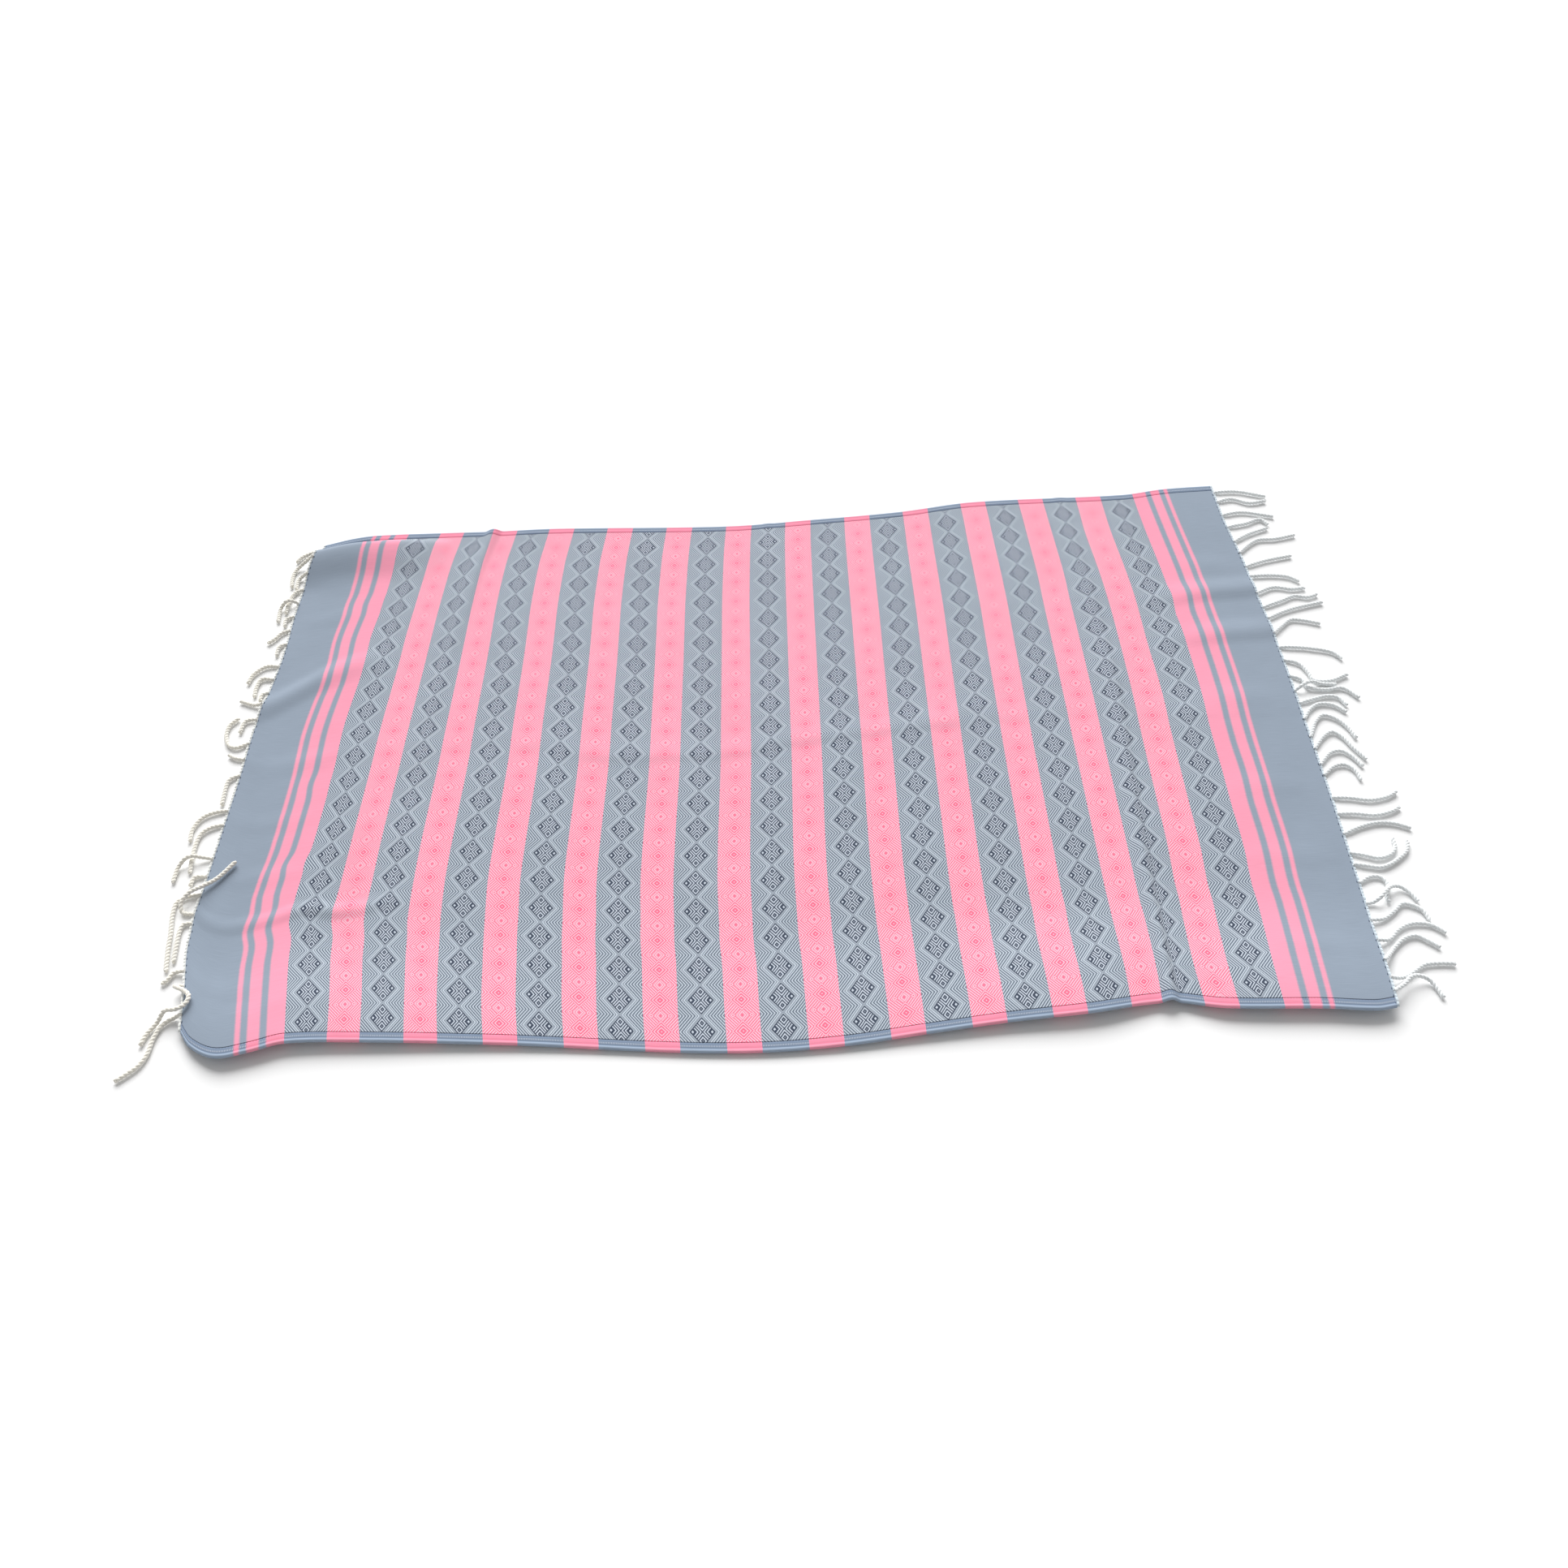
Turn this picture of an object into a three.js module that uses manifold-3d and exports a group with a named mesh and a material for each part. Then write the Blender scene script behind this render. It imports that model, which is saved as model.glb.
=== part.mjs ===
// Fouta towel: a flat-woven cotton cloth with two stitched hems and a twisted fringe at both ends,
// lying flat in a single layer. Millimetres, +X along the towel's length, +Y away from the near
// hem, +Z up. The underside rests on z = 0.
import * as THREE from 'three';
import { mergeVertices } from 'three/addons/utils/BufferGeometryUtils.js';
import Module from 'manifold-3d';

const wasm = await Module();
wasm.setup();

// Driving dimensions of the cut cloth
const clothLength = 1525;
const clothWidth = 1000;
const clothThickness = 1.8;
const hemWidth = 13;
const hemThickness = 3;
const hemRounding = 1.2;
const seamGap = 0.3;

// Fringe: a narrow overcast header along each end, and the strands twisted from the warp ends
const headerWidth = 3;
const strandWidth = 5;
const strandHeight = 5;
const strandRootWidth = 2;
const strandRootHeight = 1;
const strandRootDepth = 2;
const floorGap = 0.4;
const stationsPerReach = 2;

// The middle of the finished outline, fringes included, as measured from the middle of the near hem
const outlineMiddle = { x: 29.4, y: 511.4 };

// Mesh fineness: plain cloth takes wide steps, folds and the rounded near left corner narrow ones
const plainStep = 68;
const foldStep = 17;
const roundedCorner = 55;
const mergeDistance = 1e-4;

// Where the two long edges lie on the surface: s runs along the length, y is the depth
const nearEdge = [
  { s: 0, y: 26 },
  { s: 18, y: 4 },
  { s: 52, y: -13 },
  { s: 90, y: -7 },
  { s: 136, y: 5 },
  { s: 235, y: 6 },
  { s: 440, y: 0 },
  { s: 640, y: -13 },
  { s: 740, y: -15 },
  { s: 835, y: -9 },
  { s: 935, y: 4 },
  { s: 1035, y: 16 },
  { s: 1137, y: 25 },
  { s: 1244, y: 41 },
  { s: 1318, y: 29 },
  { s: 1440, y: 25 },
  { s: 1500, y: 21 },
  { s: 1525, y: 25 },
];
const farEdge = [
  { s: 0, y: 938 },
  { s: 45, y: 954 },
  { s: 85, y: 961 },
  { s: 245, y: 966 },
  { s: 295, y: 967 },
  { s: 400, y: 972 },
  { s: 695, y: 972 },
  { s: 830, y: 985 },
  { s: 985, y: 1003 },
  { s: 1110, y: 1026 },
  { s: 1370, y: 1040 },
  { s: 1443, y: 1054 },
  { s: 1525, y: 1061 },
];

// How far the stripes have slid sideways at places s along the length: one number for each depth
const slideDepths = [0, 60, 130, 165, 195, 260, 330, 470, 550, 680, 745, 811, 910, 957, 1000];
const slide = [
  { s: 0, by: [38, 28, 14, 11, 9, 11, 12, 14, 14, 23, 25, 24, 28, 34, 40] },
  { s: 100, by: [34, 23, 10, 6, -3, -1, 5, 8, 6, 15, 14, 20, 25, 27, 36] },
  { s: 215, by: [21, 13, 1, -3, -9, -8, -7, -3, -1, 4, 6, 9, 15, 20, 26] },
  { s: 380, by: [10, 1, -6, -9, -11, -14, -13, -9, -9, -7, -7, -7, -3, 2, 7] },
  { s: 760, by: [2, -1, -4, -7, -8, -10, -10, -8, -8, -8, -8, -8, -7, -6, -4] },
  { s: 1145, by: [-2, -2, -3, -2, -3, -3, -3, -4, -4, -4, -4, -5, -8, -9, -11] },
  { s: 1226, by: [-6, -3, -2, -3, -3, -3, -3, -3, -3, -4, -5, -5, -9, -11, -13] },
  { s: 1290, by: [-13, -14, -11, -9, -9, -6, -5, -3, -1, -1, -2, -5, -12, -13, -14] },
  { s: 1430, by: [-18, -14, -8, -6, -6, -2, -2, 0, 3, 1, -1, -4, -11, -14, -16] },
  { s: clothLength, by: [-18, -13, -9, -6, -5, -3, -1, 0, 1, -1, -5, -7, -15, -16, -17] },
];

// The largest folds. Each crest runs along the length or across the width: its stations give the
// place, where the crest lines up there and how high it stands. It falls away over the two widths.
const folds = [
  {
    name: 'packing fold along the middle',
    runs: 'length',
    before: 20,
    after: 34,
    crest: [
      { place: 0, line: 490, rise: 0.5 },
      { place: 350, line: 512, rise: 0.8 },
      { place: 430, line: 505, rise: 1.2 },
      { place: 530, line: 486, rise: 2 },
      { place: 640, line: 490, rise: 2.2 },
      { place: 730, line: 496, rise: 2.2 },
      { place: 790, line: 508, rise: 2.2 },
      { place: 980, line: 514, rise: 2.2 },
      { place: 1060, line: 512, rise: 1.5 },
      { place: clothLength, line: 495, rise: 0.5 },
    ],
  },
  {
    name: 'standing pleat along the right crosswise fold',
    runs: 'width',
    before: 18,
    after: 14,
    crest: [
      { place: 0, line: 1244, rise: 7 },
      { place: 130, line: 1247, rise: 6 },
      { place: 330, line: 1254, rise: 5 },
      { place: 520, line: 1264, rise: 4 },
      { place: 850, line: 1264, rise: 3 },
      { place: clothWidth, line: 1262, rise: 1 },
    ],
  },
  {
    name: 'middle crosswise fold',
    runs: 'width',
    before: 14,
    after: 14,
    crest: [
      { place: 0, line: 762, rise: 0 },
      { place: 230, line: 765, rise: 1.5 },
      { place: 520, line: 764, rise: 1.5 },
      { place: clothWidth, line: 761, rise: 1 },
    ],
  },
  {
    name: 'left crosswise fold',
    runs: 'width',
    before: 18,
    after: 18,
    crest: [
      { place: 450, line: 264, rise: 0 },
      { place: 640, line: 270, rise: 2 },
      { place: 800, line: 281, rise: 3 },
      { place: clothWidth, line: 293, rise: 6 },
    ],
  },
  {
    name: 'near hem lifted off the surface',
    runs: 'length',
    before: 0,
    after: 190,
    crest: [
      { place: 0, line: 0, rise: 8 },
      { place: 60, line: 0, rise: 14 },
      { place: 240, line: 0, rise: 12 },
      { place: 400, line: 0, rise: 8 },
      { place: 540, line: 0, rise: 5 },
      { place: 680, line: 0, rise: 5 },
      { place: 860, line: 0, rise: 7 },
      { place: 1000, line: 0, rise: 11 },
      { place: 1150, line: 0, rise: 15 },
      { place: 1244, line: 0, rise: 9 },
      { place: 1330, line: 0, rise: 14 },
      { place: 1480, line: 0, rise: 15 },
      { place: clothLength, line: 0, rise: 14 },
    ],
  },
  {
    name: 'ridge across the far left corner',
    runs: 'length',
    before: 95,
    after: 17,
    crest: [
      { place: 0, line: 962, rise: 17 },
      { place: 60, line: 962, rise: 17 },
      { place: 120, line: 966, rise: 14 },
      { place: 175, line: 968, rise: 8 },
      { place: 225, line: 968, rise: 0 },
    ],
  },
  {
    name: 'pinched wrinkle near the left end',
    runs: 'length',
    before: 18,
    after: 18,
    crest: [
      { place: 0, line: 202, rise: 2 },
      { place: 120, line: 205, rise: 3.5 },
      { place: 160, line: 214, rise: 4.5 },
      { place: 195, line: 208, rise: 5 },
      { place: 230, line: 212, rise: 4 },
      { place: 255, line: 222, rise: 2.5 },
      { place: 300, line: 226, rise: 0 },
    ],
  },
  {
    name: 'slanting wave at the left end',
    runs: 'length',
    before: 42,
    after: 34,
    crest: [
      { place: 0, line: 600, rise: 5 },
      { place: 85, line: 668, rise: 4 },
      { place: 190, line: 700, rise: 0 },
    ],
  },
  {
    name: 'upper wave at the right end',
    runs: 'length',
    before: 26,
    after: 34,
    crest: [
      { place: 1330, line: 744, rise: 0 },
      { place: 1440, line: 747, rise: 3.5 },
      { place: clothLength, line: 750, rise: 4 },
    ],
  },
  {
    name: 'lower wave at the right end',
    runs: 'length',
    before: 26,
    after: 34,
    crest: [
      { place: 1350, line: 652, rise: 0 },
      { place: 1450, line: 656, rise: 3 },
      { place: clothLength, line: 658, rise: 3 },
    ],
  },
];

// Fringe strands, one row each: where along the end the strand starts, and the way it lies from
// there. Each point gives how far out from the cloth, how far along the end, and how high it is
// lifted where it crosses another strand or the cloth (nothing where it lies on the surface).
const rightStrands = [
  { t: 980, route: [[39, 1], [85, -13]] },
  { t: 956, route: [[26, 6], [53, -5], [81, 0]] },
  { t: 922, route: [[34, 6], [66, -1], [84, -6]] },
  { t: 892, route: [[34, 8], [59, 18], [69, 5]] },
  { t: 857, route: [[28, 17], [48, 26], [62, 32]] },
  { t: 830, route: [[22, 20], [38, 30], [65, 32], [100, 41]] },
  { t: 797, route: [[36, 13], [79, 24]] },
  { t: 774, route: [[37, 1], [61, -3], [76, -14]] },
  { t: 735, route: [[31, 13], [59, 8], [79, 11]] },
  { t: 704, route: [[34, 14], [56, 24], [76, 21], [92, 27]] },
  { t: 679, route: [[37, 18], [94, 35]] },
  { t: 647, route: [[18, 16], [34, 29], [50, 28], [77, 20]] },
  { t: 618, route: [[44, -4], [78, -14], [89, -27]] },
  { t: 591, route: [[21, -9], [30, -28], [34, -43], [57, -46], [87, -33]] },
  { t: 559, route: [[17, -10], [21, -25], [47, -31], [72, -28], [91, -48]] },
  { t: 529, route: [[9, 3, 5], [19, 8, 8], [29, 11, 6], [40, 12, 1], [64, 10]] },
  { t: 504, route: [[23, 7], [45, 13], [60, 10], [69, -6]] },
  { t: 474, route: [[13, 17], [29, 28], [49, 26], [65, 12]] },
  { t: 440, route: [[15, 28], [29, 41], [45, 35], [58, 18], [65, -4]] },
  { t: 418, route: [[20, 23], [34, 31], [45, 22], [55, 1], [68, -22]] },
  { t: 389, route: [[21, 21], [37, 24], [49, 14], [59, -5]] },
  { t: 370, route: [[19, 15], [34, 18], [45, 9], [50, -10]] },
  { t: 330, route: [[26, -2], [53, -6], [79, 0], [92, 8]] },
  { t: 302, route: [[27, -1], [52, -4], [78, 3], [89, 10]] },
  { t: 268, route: [[28, 12], [53, 18], [75, 16], [94, 8]] },
  { t: 237, route: [[19, -5], [37, -10], [55, -4], [64, 8], [65, 22]] },
  { t: 219, route: [[18, -4], [35, -7], [50, -2], [65, 8], [78, 20], [84, 36]] },
  { t: 189, route: [[18, 9], [31, 8], [37, -3], [31, -19], [30, -32]] },
  { t: 156, route: [[12, 2, 1], [20, 5, 7], [27, 12, 9], [37, 21, 7], [52, 25, 2], [63, 17], [70, 3]] },
  { t: 130, route: [[20, 3], [36, 14], [51, 26], [65, 22], [74, 14], [78, 0]] },
  { t: 98, route: [[19, 4], [33, 17], [49, 26], [65, 28], [81, 24], [94, 13]] },
  { t: 67, route: [[13, 12, 3], [22, 22], [40, 37], [56, 41], [69, 33], [81, 23]] },
  { t: 41, route: [[16, 3, 4], [27, 7, 1], [40, 15], [55, 24], [75, 26], [94, 25]] },
  { t: 21, route: [[18, 11, 10.5], [29, 21, 10], [42, 24, 7], [55, 21, 2], [61, 11], [65, -3]] },
];
const leftStrands = [
  { t: 985, route: [[29, -18], [36, -30]] },
  { t: 950, route: [[27, -17], [30, -38], [27, -58]] },
  { t: 915, route: [[14, -9], [14, -32]] },
  { t: 880, route: [[12, -9], [17, -28], [17, -55]] },
  { t: 845, route: [[8, -1, 5], [16, -4, 8], [25, -14, 1], [24, -42]] },
  { t: 812, route: [[11, -7], [11, -23]] },
  { t: 778, route: [[12, -7], [20, -20], [29, -29]] },
  { t: 745, route: [[10, -7], [11, -26]] },
  { t: 692, route: [[19, -1], [35, -18], [39, -36]] },
  { t: 662, route: [[18, 0], [23, -16], [22, -36]] },
  { t: 632, route: [[9, -6], [9, -18]] },
  { t: 602, route: [[15, 2], [35, 10]] },
  { t: 572, route: [[16, -3], [20, -26]] },
  { t: 522, route: [[15, -9], [27, -6], [36, 12], [36, 34], [26, 48]] },
  { t: 487, route: [[15, 3], [24, 9]] },
  { t: 455, route: [[13, -9], [14, -36], [13, -54]] },
  { t: 385, route: [[19, -4], [33, -13], [41, -32], [40, -53]] },
  { t: 358, route: [[17, -6], [27, -16], [30, -45], [26, -82]] },
  { t: 294, route: [[17, 0, 4], [25, -1, 7.5], [33, -4, 7], [42, -14, 1], [44, -38]] },
  { t: 262, route: [[16, -2], [19, -16]] },
  { t: 229, route: [[16, -3], [28, -12], [29, -30], [24, -60], [21, -84], [18, -102], [15, -118]] },
  { t: 195, route: [[15, 2], [19, 14, 5], [11, 28, 9], [-2, 40, 6], [-17, 54, 3.5], [-35, 81, 3.5]] },
  { t: 180, route: [[11, -3], [13, -13], [11, -40], [9, -60]] },
  { t: 98, route: [[14, -1], [20, -12], [26, -17]] },
  {
    t: 72,
    route: [[10, -2, 8], [4, -6, 9], [-4, -10, 9.5], [-12, -19, 11], [-10, -31, 11.5], [-1, -38, 12.5],
      [12, -39, 11], [21, -50, 2], [31, -66], [34, -80]],
  },
  { t: 26, route: [[13, -2], [24, -13], [29, -29], [31, -52], [37, -66], [48, -77], [59, -86]] },
];

// Smooth curve through the rows of a table: the value of one column where another reaches "at"
function smooth(rows, place, column, at) {
  const last = rows.length - 1;
  if (at <= rows[0][place]) return rows[0][column];
  if (at >= rows[last][place]) return rows[last][column];
  let i = 0;
  while (rows[i + 1][place] < at) i += 1;
  const slopeAt = (k) => {
    const a = rows[Math.max(k - 1, 0)];
    const b = rows[Math.min(k + 1, last)];
    return (b[column] - a[column]) / (b[place] - a[place]);
  };
  const step = rows[i + 1][place] - rows[i][place];
  const u = (at - rows[i][place]) / step;
  const v = 1 - u;
  return rows[i][column] * v * v * (1 + 2 * u) + rows[i + 1][column] * u * u * (3 - 2 * u)
    + step * u * v * (v * slopeAt(i) - u * slopeAt(i + 1));
}

// Height of the underside above the surface at cut coordinates s, t
function riseOf(s, t) {
  let rise = 0;
  for (const fold of folds) {
    const along = fold.runs === 'length' ? s : t;
    const across = fold.runs === 'length' ? t : s;
    const off = across - smooth(fold.crest, 'place', 'line', along);
    const reach = off < 0 ? fold.before : fold.after;
    if (Math.abs(off) < reach) {
      const crest = Math.max(0, smooth(fold.crest, 'place', 'rise', along));
      rise += crest * (1 + Math.cos(Math.PI * off / reach)) / 2;
    }
  }
  return rise;
}

// Place of a point of the cloth's underside: s along the length, t across the width
function underside(s, t) {
  const slid = slide.map(({ s: place, by }) => {
    const byDepth = slideDepths.map((depth, k) => ({ depth, by: by[k] }));
    return { place, by: smooth(byDepth, 'depth', 'by', t) };
  });
  const near = smooth(nearEdge, 's', 'y', s);
  const far = smooth(farEdge, 's', 'y', s);
  return new THREE.Vector3(
    s - clothLength / 2 + smooth(slid, 'place', 'by', s),
    near + (far - near) * t / clothWidth,
    riseOf(s, t),
  );
}

// The point "up" from the underside, square to the cloth there; at the two ends the cut is upright
function above(s, t, up) {
  const probe = 1;
  const alongS = underside(s + probe, t).sub(underside(s - probe, t));
  const alongT = underside(s, t + probe).sub(underside(s, t - probe));
  const square = alongS.cross(alongT);
  if (s <= 0 || s >= clothLength) square.x = 0;
  return underside(s, t).addScaledVector(square.normalize(), up);
}

// Cut positions from start to end, closer together across the folds that cross this direction
function cutLines(start, end, crossedBy) {
  const bands = folds.filter((fold) => fold.runs === crossedBy).map((fold) => {
    const lines = fold.crest.map((station) => station.line);
    return [Math.min(...lines) - fold.before, Math.max(...lines) + fold.after];
  });
  if (crossedBy === 'width') bands.push([0, roundedCorner]);
  const lines = [start];
  let at = start;
  while (at < end) {
    const inFold = bands.some(([from, to]) => at >= from - foldStep && at < to);
    at = Math.min(end, at + (inFold ? foldStep : foldStep * 2));
    const folded = bands.some(([from, to]) => at > from && at < to + foldStep);
    const wide = at - lines[lines.length - 1] >= plainStep - foldStep;
    if (folded || wide || at === end) lines.push(at);
  }
  return lines;
}

// A closed body through rings of points. Each ring is a lower row, left to right as seen along the
// way, and then an upper row back over it, so each end is closed by a strip between the two rows.
function closedBody(rings) {
  const positions = [];
  const push = (...points) => points.forEach((p) => positions.push(p.x, p.y, p.z));
  const count = rings[0].length;
  for (let i = 0; i + 1 < rings.length; i += 1) {
    for (let k = 0; k < count; k += 1) {
      const next = (k + 1) % count;
      push(rings[i][k], rings[i][next], rings[i + 1][next]);
      push(rings[i][k], rings[i + 1][next], rings[i + 1][k]);
    }
  }
  for (const [ring, atStart] of [[rings[0], true], [rings[rings.length - 1], false]]) {
    for (let k = 0; k + 1 < count / 2; k += 1) {
      const corners = [ring[k], ring[count - 1 - k], ring[count - 2 - k], ring[k + 1]];
      const [a, b, c, d] = atStart ? corners : corners.toReversed();
      push(a, b, c);
      push(a, c, d);
    }
  }
  const body = new THREE.BufferGeometry();
  body.setAttribute('position', new THREE.Float32BufferAttribute(positions, 3));
  const merged = mergeVertices(body, mergeDistance);
  merged.computeVertexNormals();
  return merged;
}

// Cut positions across the width, from the seam with one hem to the seam with the other
function acrossLines() {
  return cutLines(hemWidth + seamGap, clothWidth - hemWidth - seamGap, 'length');
}

// Woven panel between the two hems: upper and lower face on one grid, closed round the rim
function clothGeometry() {
  const sLines = cutLines(0, clothLength, 'width');
  const tLines = acrossLines();
  return closedBody(sLines.map((s) => [
    ...tLines.map((t) => underside(s, t)),
    ...tLines.toReversed().map((t) => above(s, t, clothThickness)),
  ]));
}

// Turned hem: three layers of cloth with a rounded outer fold, from one end to the other
function hemGeometry(side) {
  const lower = [
    { inward: 0, up: hemRounding },
    { inward: hemRounding, up: 0 },
    { inward: hemWidth, up: 0 },
  ];
  const upper = lower.map(({ inward, up }) => ({ inward, up: hemThickness - up }));
  const section = side === 'near'
    ? [...lower, ...upper.toReversed()]
    : [...lower.toReversed(), ...upper];
  return closedBody(cutLines(0, clothLength, 'width').map((s) => section.map(({ inward, up }) => {
    const t = side === 'near' ? inward : clothWidth - inward;
    return above(s, t, up);
  })));
}

// Strand: a four-sided bar from inside the header along its route, flat on the surface where low
function strandGeometry(row, outward) {
  const s = outward < 0 ? 0 : clothLength;
  const edge = underside(s, row.t);
  const lie = floorGap + strandHeight / 2;
  const place = (out, drift, height) => new THREE.Vector3(edge.x + outward * out, edge.y + drift, height);
  const points = [place(seamGap + headerWidth - strandRootDepth, 0, edge.z + clothThickness / 2)];
  for (const [out, drift, lift = 0] of row.route) {
    points.push(place(out, drift, lie + lift));
  }
  const path = new THREE.CatmullRomCurve3(points);
  const steps = (points.length - 1) * stationsPerReach;
  const rings = [];
  for (let i = 0; i <= steps; i += 1) {
    const u = i / steps;
    const centre = path.getPoint(u);
    const heading = path.getTangent(u).setZ(0).normalize();
    const aside = new THREE.Vector3(-heading.y, heading.x, 0);
    const width = i === 0 ? strandRootWidth : strandWidth;
    const height = i === 0 ? strandRootHeight : strandHeight;
    const low = Math.max(centre.z, floorGap + height / 2);
    rings.push([[-1, -1], [1, -1], [1, 1], [-1, 1]].map(([sideways, upward]) => new THREE.Vector3(
      centre.x + aside.x * sideways * width / 2,
      centre.y + aside.y * sideways * width / 2,
      low + upward * height / 2,
    )));
  }
  return closedBody(rings);
}

// A closed geometry as a solid that can be joined, and a joined solid as a geometry again
function toManifold(geometry) {
  const bare = geometry.clone();
  bare.deleteAttribute('normal');
  const merged = mergeVertices(bare, mergeDistance);
  return new wasm.Manifold(new wasm.Mesh({
    numProp: 3,
    vertProperties: new Float32Array(merged.attributes.position.array),
    triVerts: new Uint32Array(merged.index.array),
  }));
}

function fromManifold(solid) {
  const mesh = solid.getMesh();
  const geometry = new THREE.BufferGeometry();
  geometry.setAttribute('position', new THREE.Float32BufferAttribute(mesh.vertProperties, 3));
  geometry.setIndex([...mesh.triVerts]);
  geometry.computeVertexNormals();
  return geometry;
}

// Fringe: the header strip along one end of the cloth, with its strands fused into it
function fringeGeometry(strands, outward) {
  const inner = outward < 0 ? -seamGap : clothLength + seamGap;
  const outer = inner + outward * headerWidth;
  const across = [Math.max(inner, outer), Math.min(inner, outer)];
  const rings = [0, ...acrossLines(), clothWidth].map((t) => {
    const lower = across.map((s) => underside(s, t));
    const upper = lower.map((p) => p.clone().setZ(p.z + clothThickness));
    return [...lower, ...upper.toReversed()];
  });
  let fringe = toManifold(closedBody(rings));
  for (const row of strands) {
    fringe = fringe.add(toManifold(strandGeometry(row, outward)));
  }
  return fromManifold(fringe);
}

// Cotton in a plain colour, matt
const fabric = (colour) => new THREE.MeshStandardMaterial({ color: colour, roughness: 0.9, metalness: 0 });

const towel = new THREE.Group();
const pieces = [
  { name: 'cloth', geometry: clothGeometry(), material: fabric('#a9b6c6') },
  { name: 'hem_near', geometry: hemGeometry('near'), material: fabric('#93a3b6') },
  { name: 'hem_far', geometry: hemGeometry('far'), material: fabric('#93a3b6') },
  { name: 'fringe_left', geometry: fringeGeometry(leftStrands, -1), material: fabric('#d7d4c8') },
  { name: 'fringe_right', geometry: fringeGeometry(rightStrands, 1), material: fabric('#d7d4c8') },
];
for (const { name, geometry, material } of pieces) {
  const piece = new THREE.Mesh(geometry, material);
  piece.name = name;
  towel.add(piece);
}
towel.position.set(-outlineMiddle.x, -outlineMiddle.y, 0);

export default towel;
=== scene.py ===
import math

import bpy
import numpy as np
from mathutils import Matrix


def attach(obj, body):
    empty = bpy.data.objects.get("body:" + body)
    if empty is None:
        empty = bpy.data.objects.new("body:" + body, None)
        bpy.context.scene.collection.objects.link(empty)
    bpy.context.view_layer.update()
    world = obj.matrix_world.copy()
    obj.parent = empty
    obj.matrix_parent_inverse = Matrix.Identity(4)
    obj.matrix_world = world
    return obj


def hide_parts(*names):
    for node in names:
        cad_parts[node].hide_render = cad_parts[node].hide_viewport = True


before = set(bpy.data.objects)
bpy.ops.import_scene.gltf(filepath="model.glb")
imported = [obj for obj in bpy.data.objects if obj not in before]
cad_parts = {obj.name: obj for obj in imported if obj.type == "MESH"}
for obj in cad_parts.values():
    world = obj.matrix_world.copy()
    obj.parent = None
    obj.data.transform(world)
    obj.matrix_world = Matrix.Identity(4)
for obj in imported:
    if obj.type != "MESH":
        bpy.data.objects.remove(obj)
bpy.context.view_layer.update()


# Camera
# The towel is seen across its long side, from in front and one and a half metres up, looking
# 49 degrees down and a touch to the right.
camera_data = bpy.data.cameras.new("camera")
camera_data.lens = 32.72
camera = bpy.data.objects.new("camera", camera_data)
camera.location = (-0.0491, -1.3949, 1.500)
camera.rotation_euler = (math.radians(90 - 49.2), 0, math.radians(-1.28))
bpy.context.scene.collection.objects.link(camera)
bpy.context.scene.camera = camera


# Floor and light
# A plain pale floor under even studio light: a broad lamp beyond the far hem, low enough to leave a
# soft dark shadow before the near hem, and a little white light from all round.
def surface_material(name, roughness):
    """A new material with its tree and its one shader, rough as cloth or plaster is."""
    material = bpy.data.materials.new(name)
    material.use_nodes = True
    shader = material.node_tree.nodes["Principled BSDF"]
    shader.inputs["Roughness"].default_value = roughness
    shader.inputs["Specular IOR Level"].default_value = 0.2
    return material, material.node_tree, shader


floor_half = 7
floor_mesh = bpy.data.meshes.new("floor")
floor_mesh.from_pydata(
    [(-floor_half, -floor_half, 0), (floor_half, -floor_half, 0),
     (floor_half, floor_half, 0), (-floor_half, floor_half, 0)],
    [],
    [(0, 1, 2, 3)],
)
floor = bpy.data.objects.new("floor", floor_mesh)
bpy.context.scene.collection.objects.link(floor)
floor_paint, _, floor_shader = surface_material("floor white", 0.9)
floor_shader.inputs["Base Color"].default_value = (0.9, 0.9, 0.9, 1)
floor_mesh.materials.append(floor_paint)

lamp_data = bpy.data.lights.new("broad lamp", "SUN")
lamp_data.energy = 4.5
lamp_data.angle = math.radians(50)
lamp = bpy.data.objects.new("broad lamp", lamp_data)
lamp.rotation_euler = (math.radians(-55), 0, math.radians(8))
bpy.context.scene.collection.objects.link(lamp)

studio = bpy.data.worlds.new("studio")
studio.use_nodes = True
studio.node_tree.nodes["Background"].inputs["Color"].default_value = (1, 1, 1, 1)
studio.node_tree.nodes["Background"].inputs["Strength"].default_value = 0.40
bpy.context.scene.world = studio
bpy.context.scene.view_settings.view_transform = "Standard"


# The cloth
# One length of cotton cut from the loom and laid out in a single layer. Grey-blue and pink weft bands
# carry a woven lozenge repeat between plain ends; the folds are those of its packing and of its lie.
# All its places are on the cut cloth, in millimetres: s along the length, t across the width.
cloth_length = 1525
cloth_width = 1000
cloth_thickness = 1.8
hem_width = 13
seam_gap = 0.3
rim = 0.6
outline_middle = (29.4, 511.4)
metres = 0.001

# Depth of the two long edges: (s, depth)
near_edge = [
    (0, 26), (18, 4), (52, -13), (90, -7), (136, 5), (235, 6), (440, 0), (640, -13), (740, -15),
    (835, -9), (935, 4), (1035, 16), (1137, 25), (1244, 41), (1318, 29), (1440, 25), (1500, 21),
    (1525, 25),
]
far_edge = [
    (0, 938), (45, 954), (85, 961), (245, 966), (295, 967), (400, 972), (695, 972), (830, 985),
    (985, 1003), (1110, 1026), (1370, 1040), (1443, 1054), (1525, 1061),
]

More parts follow.
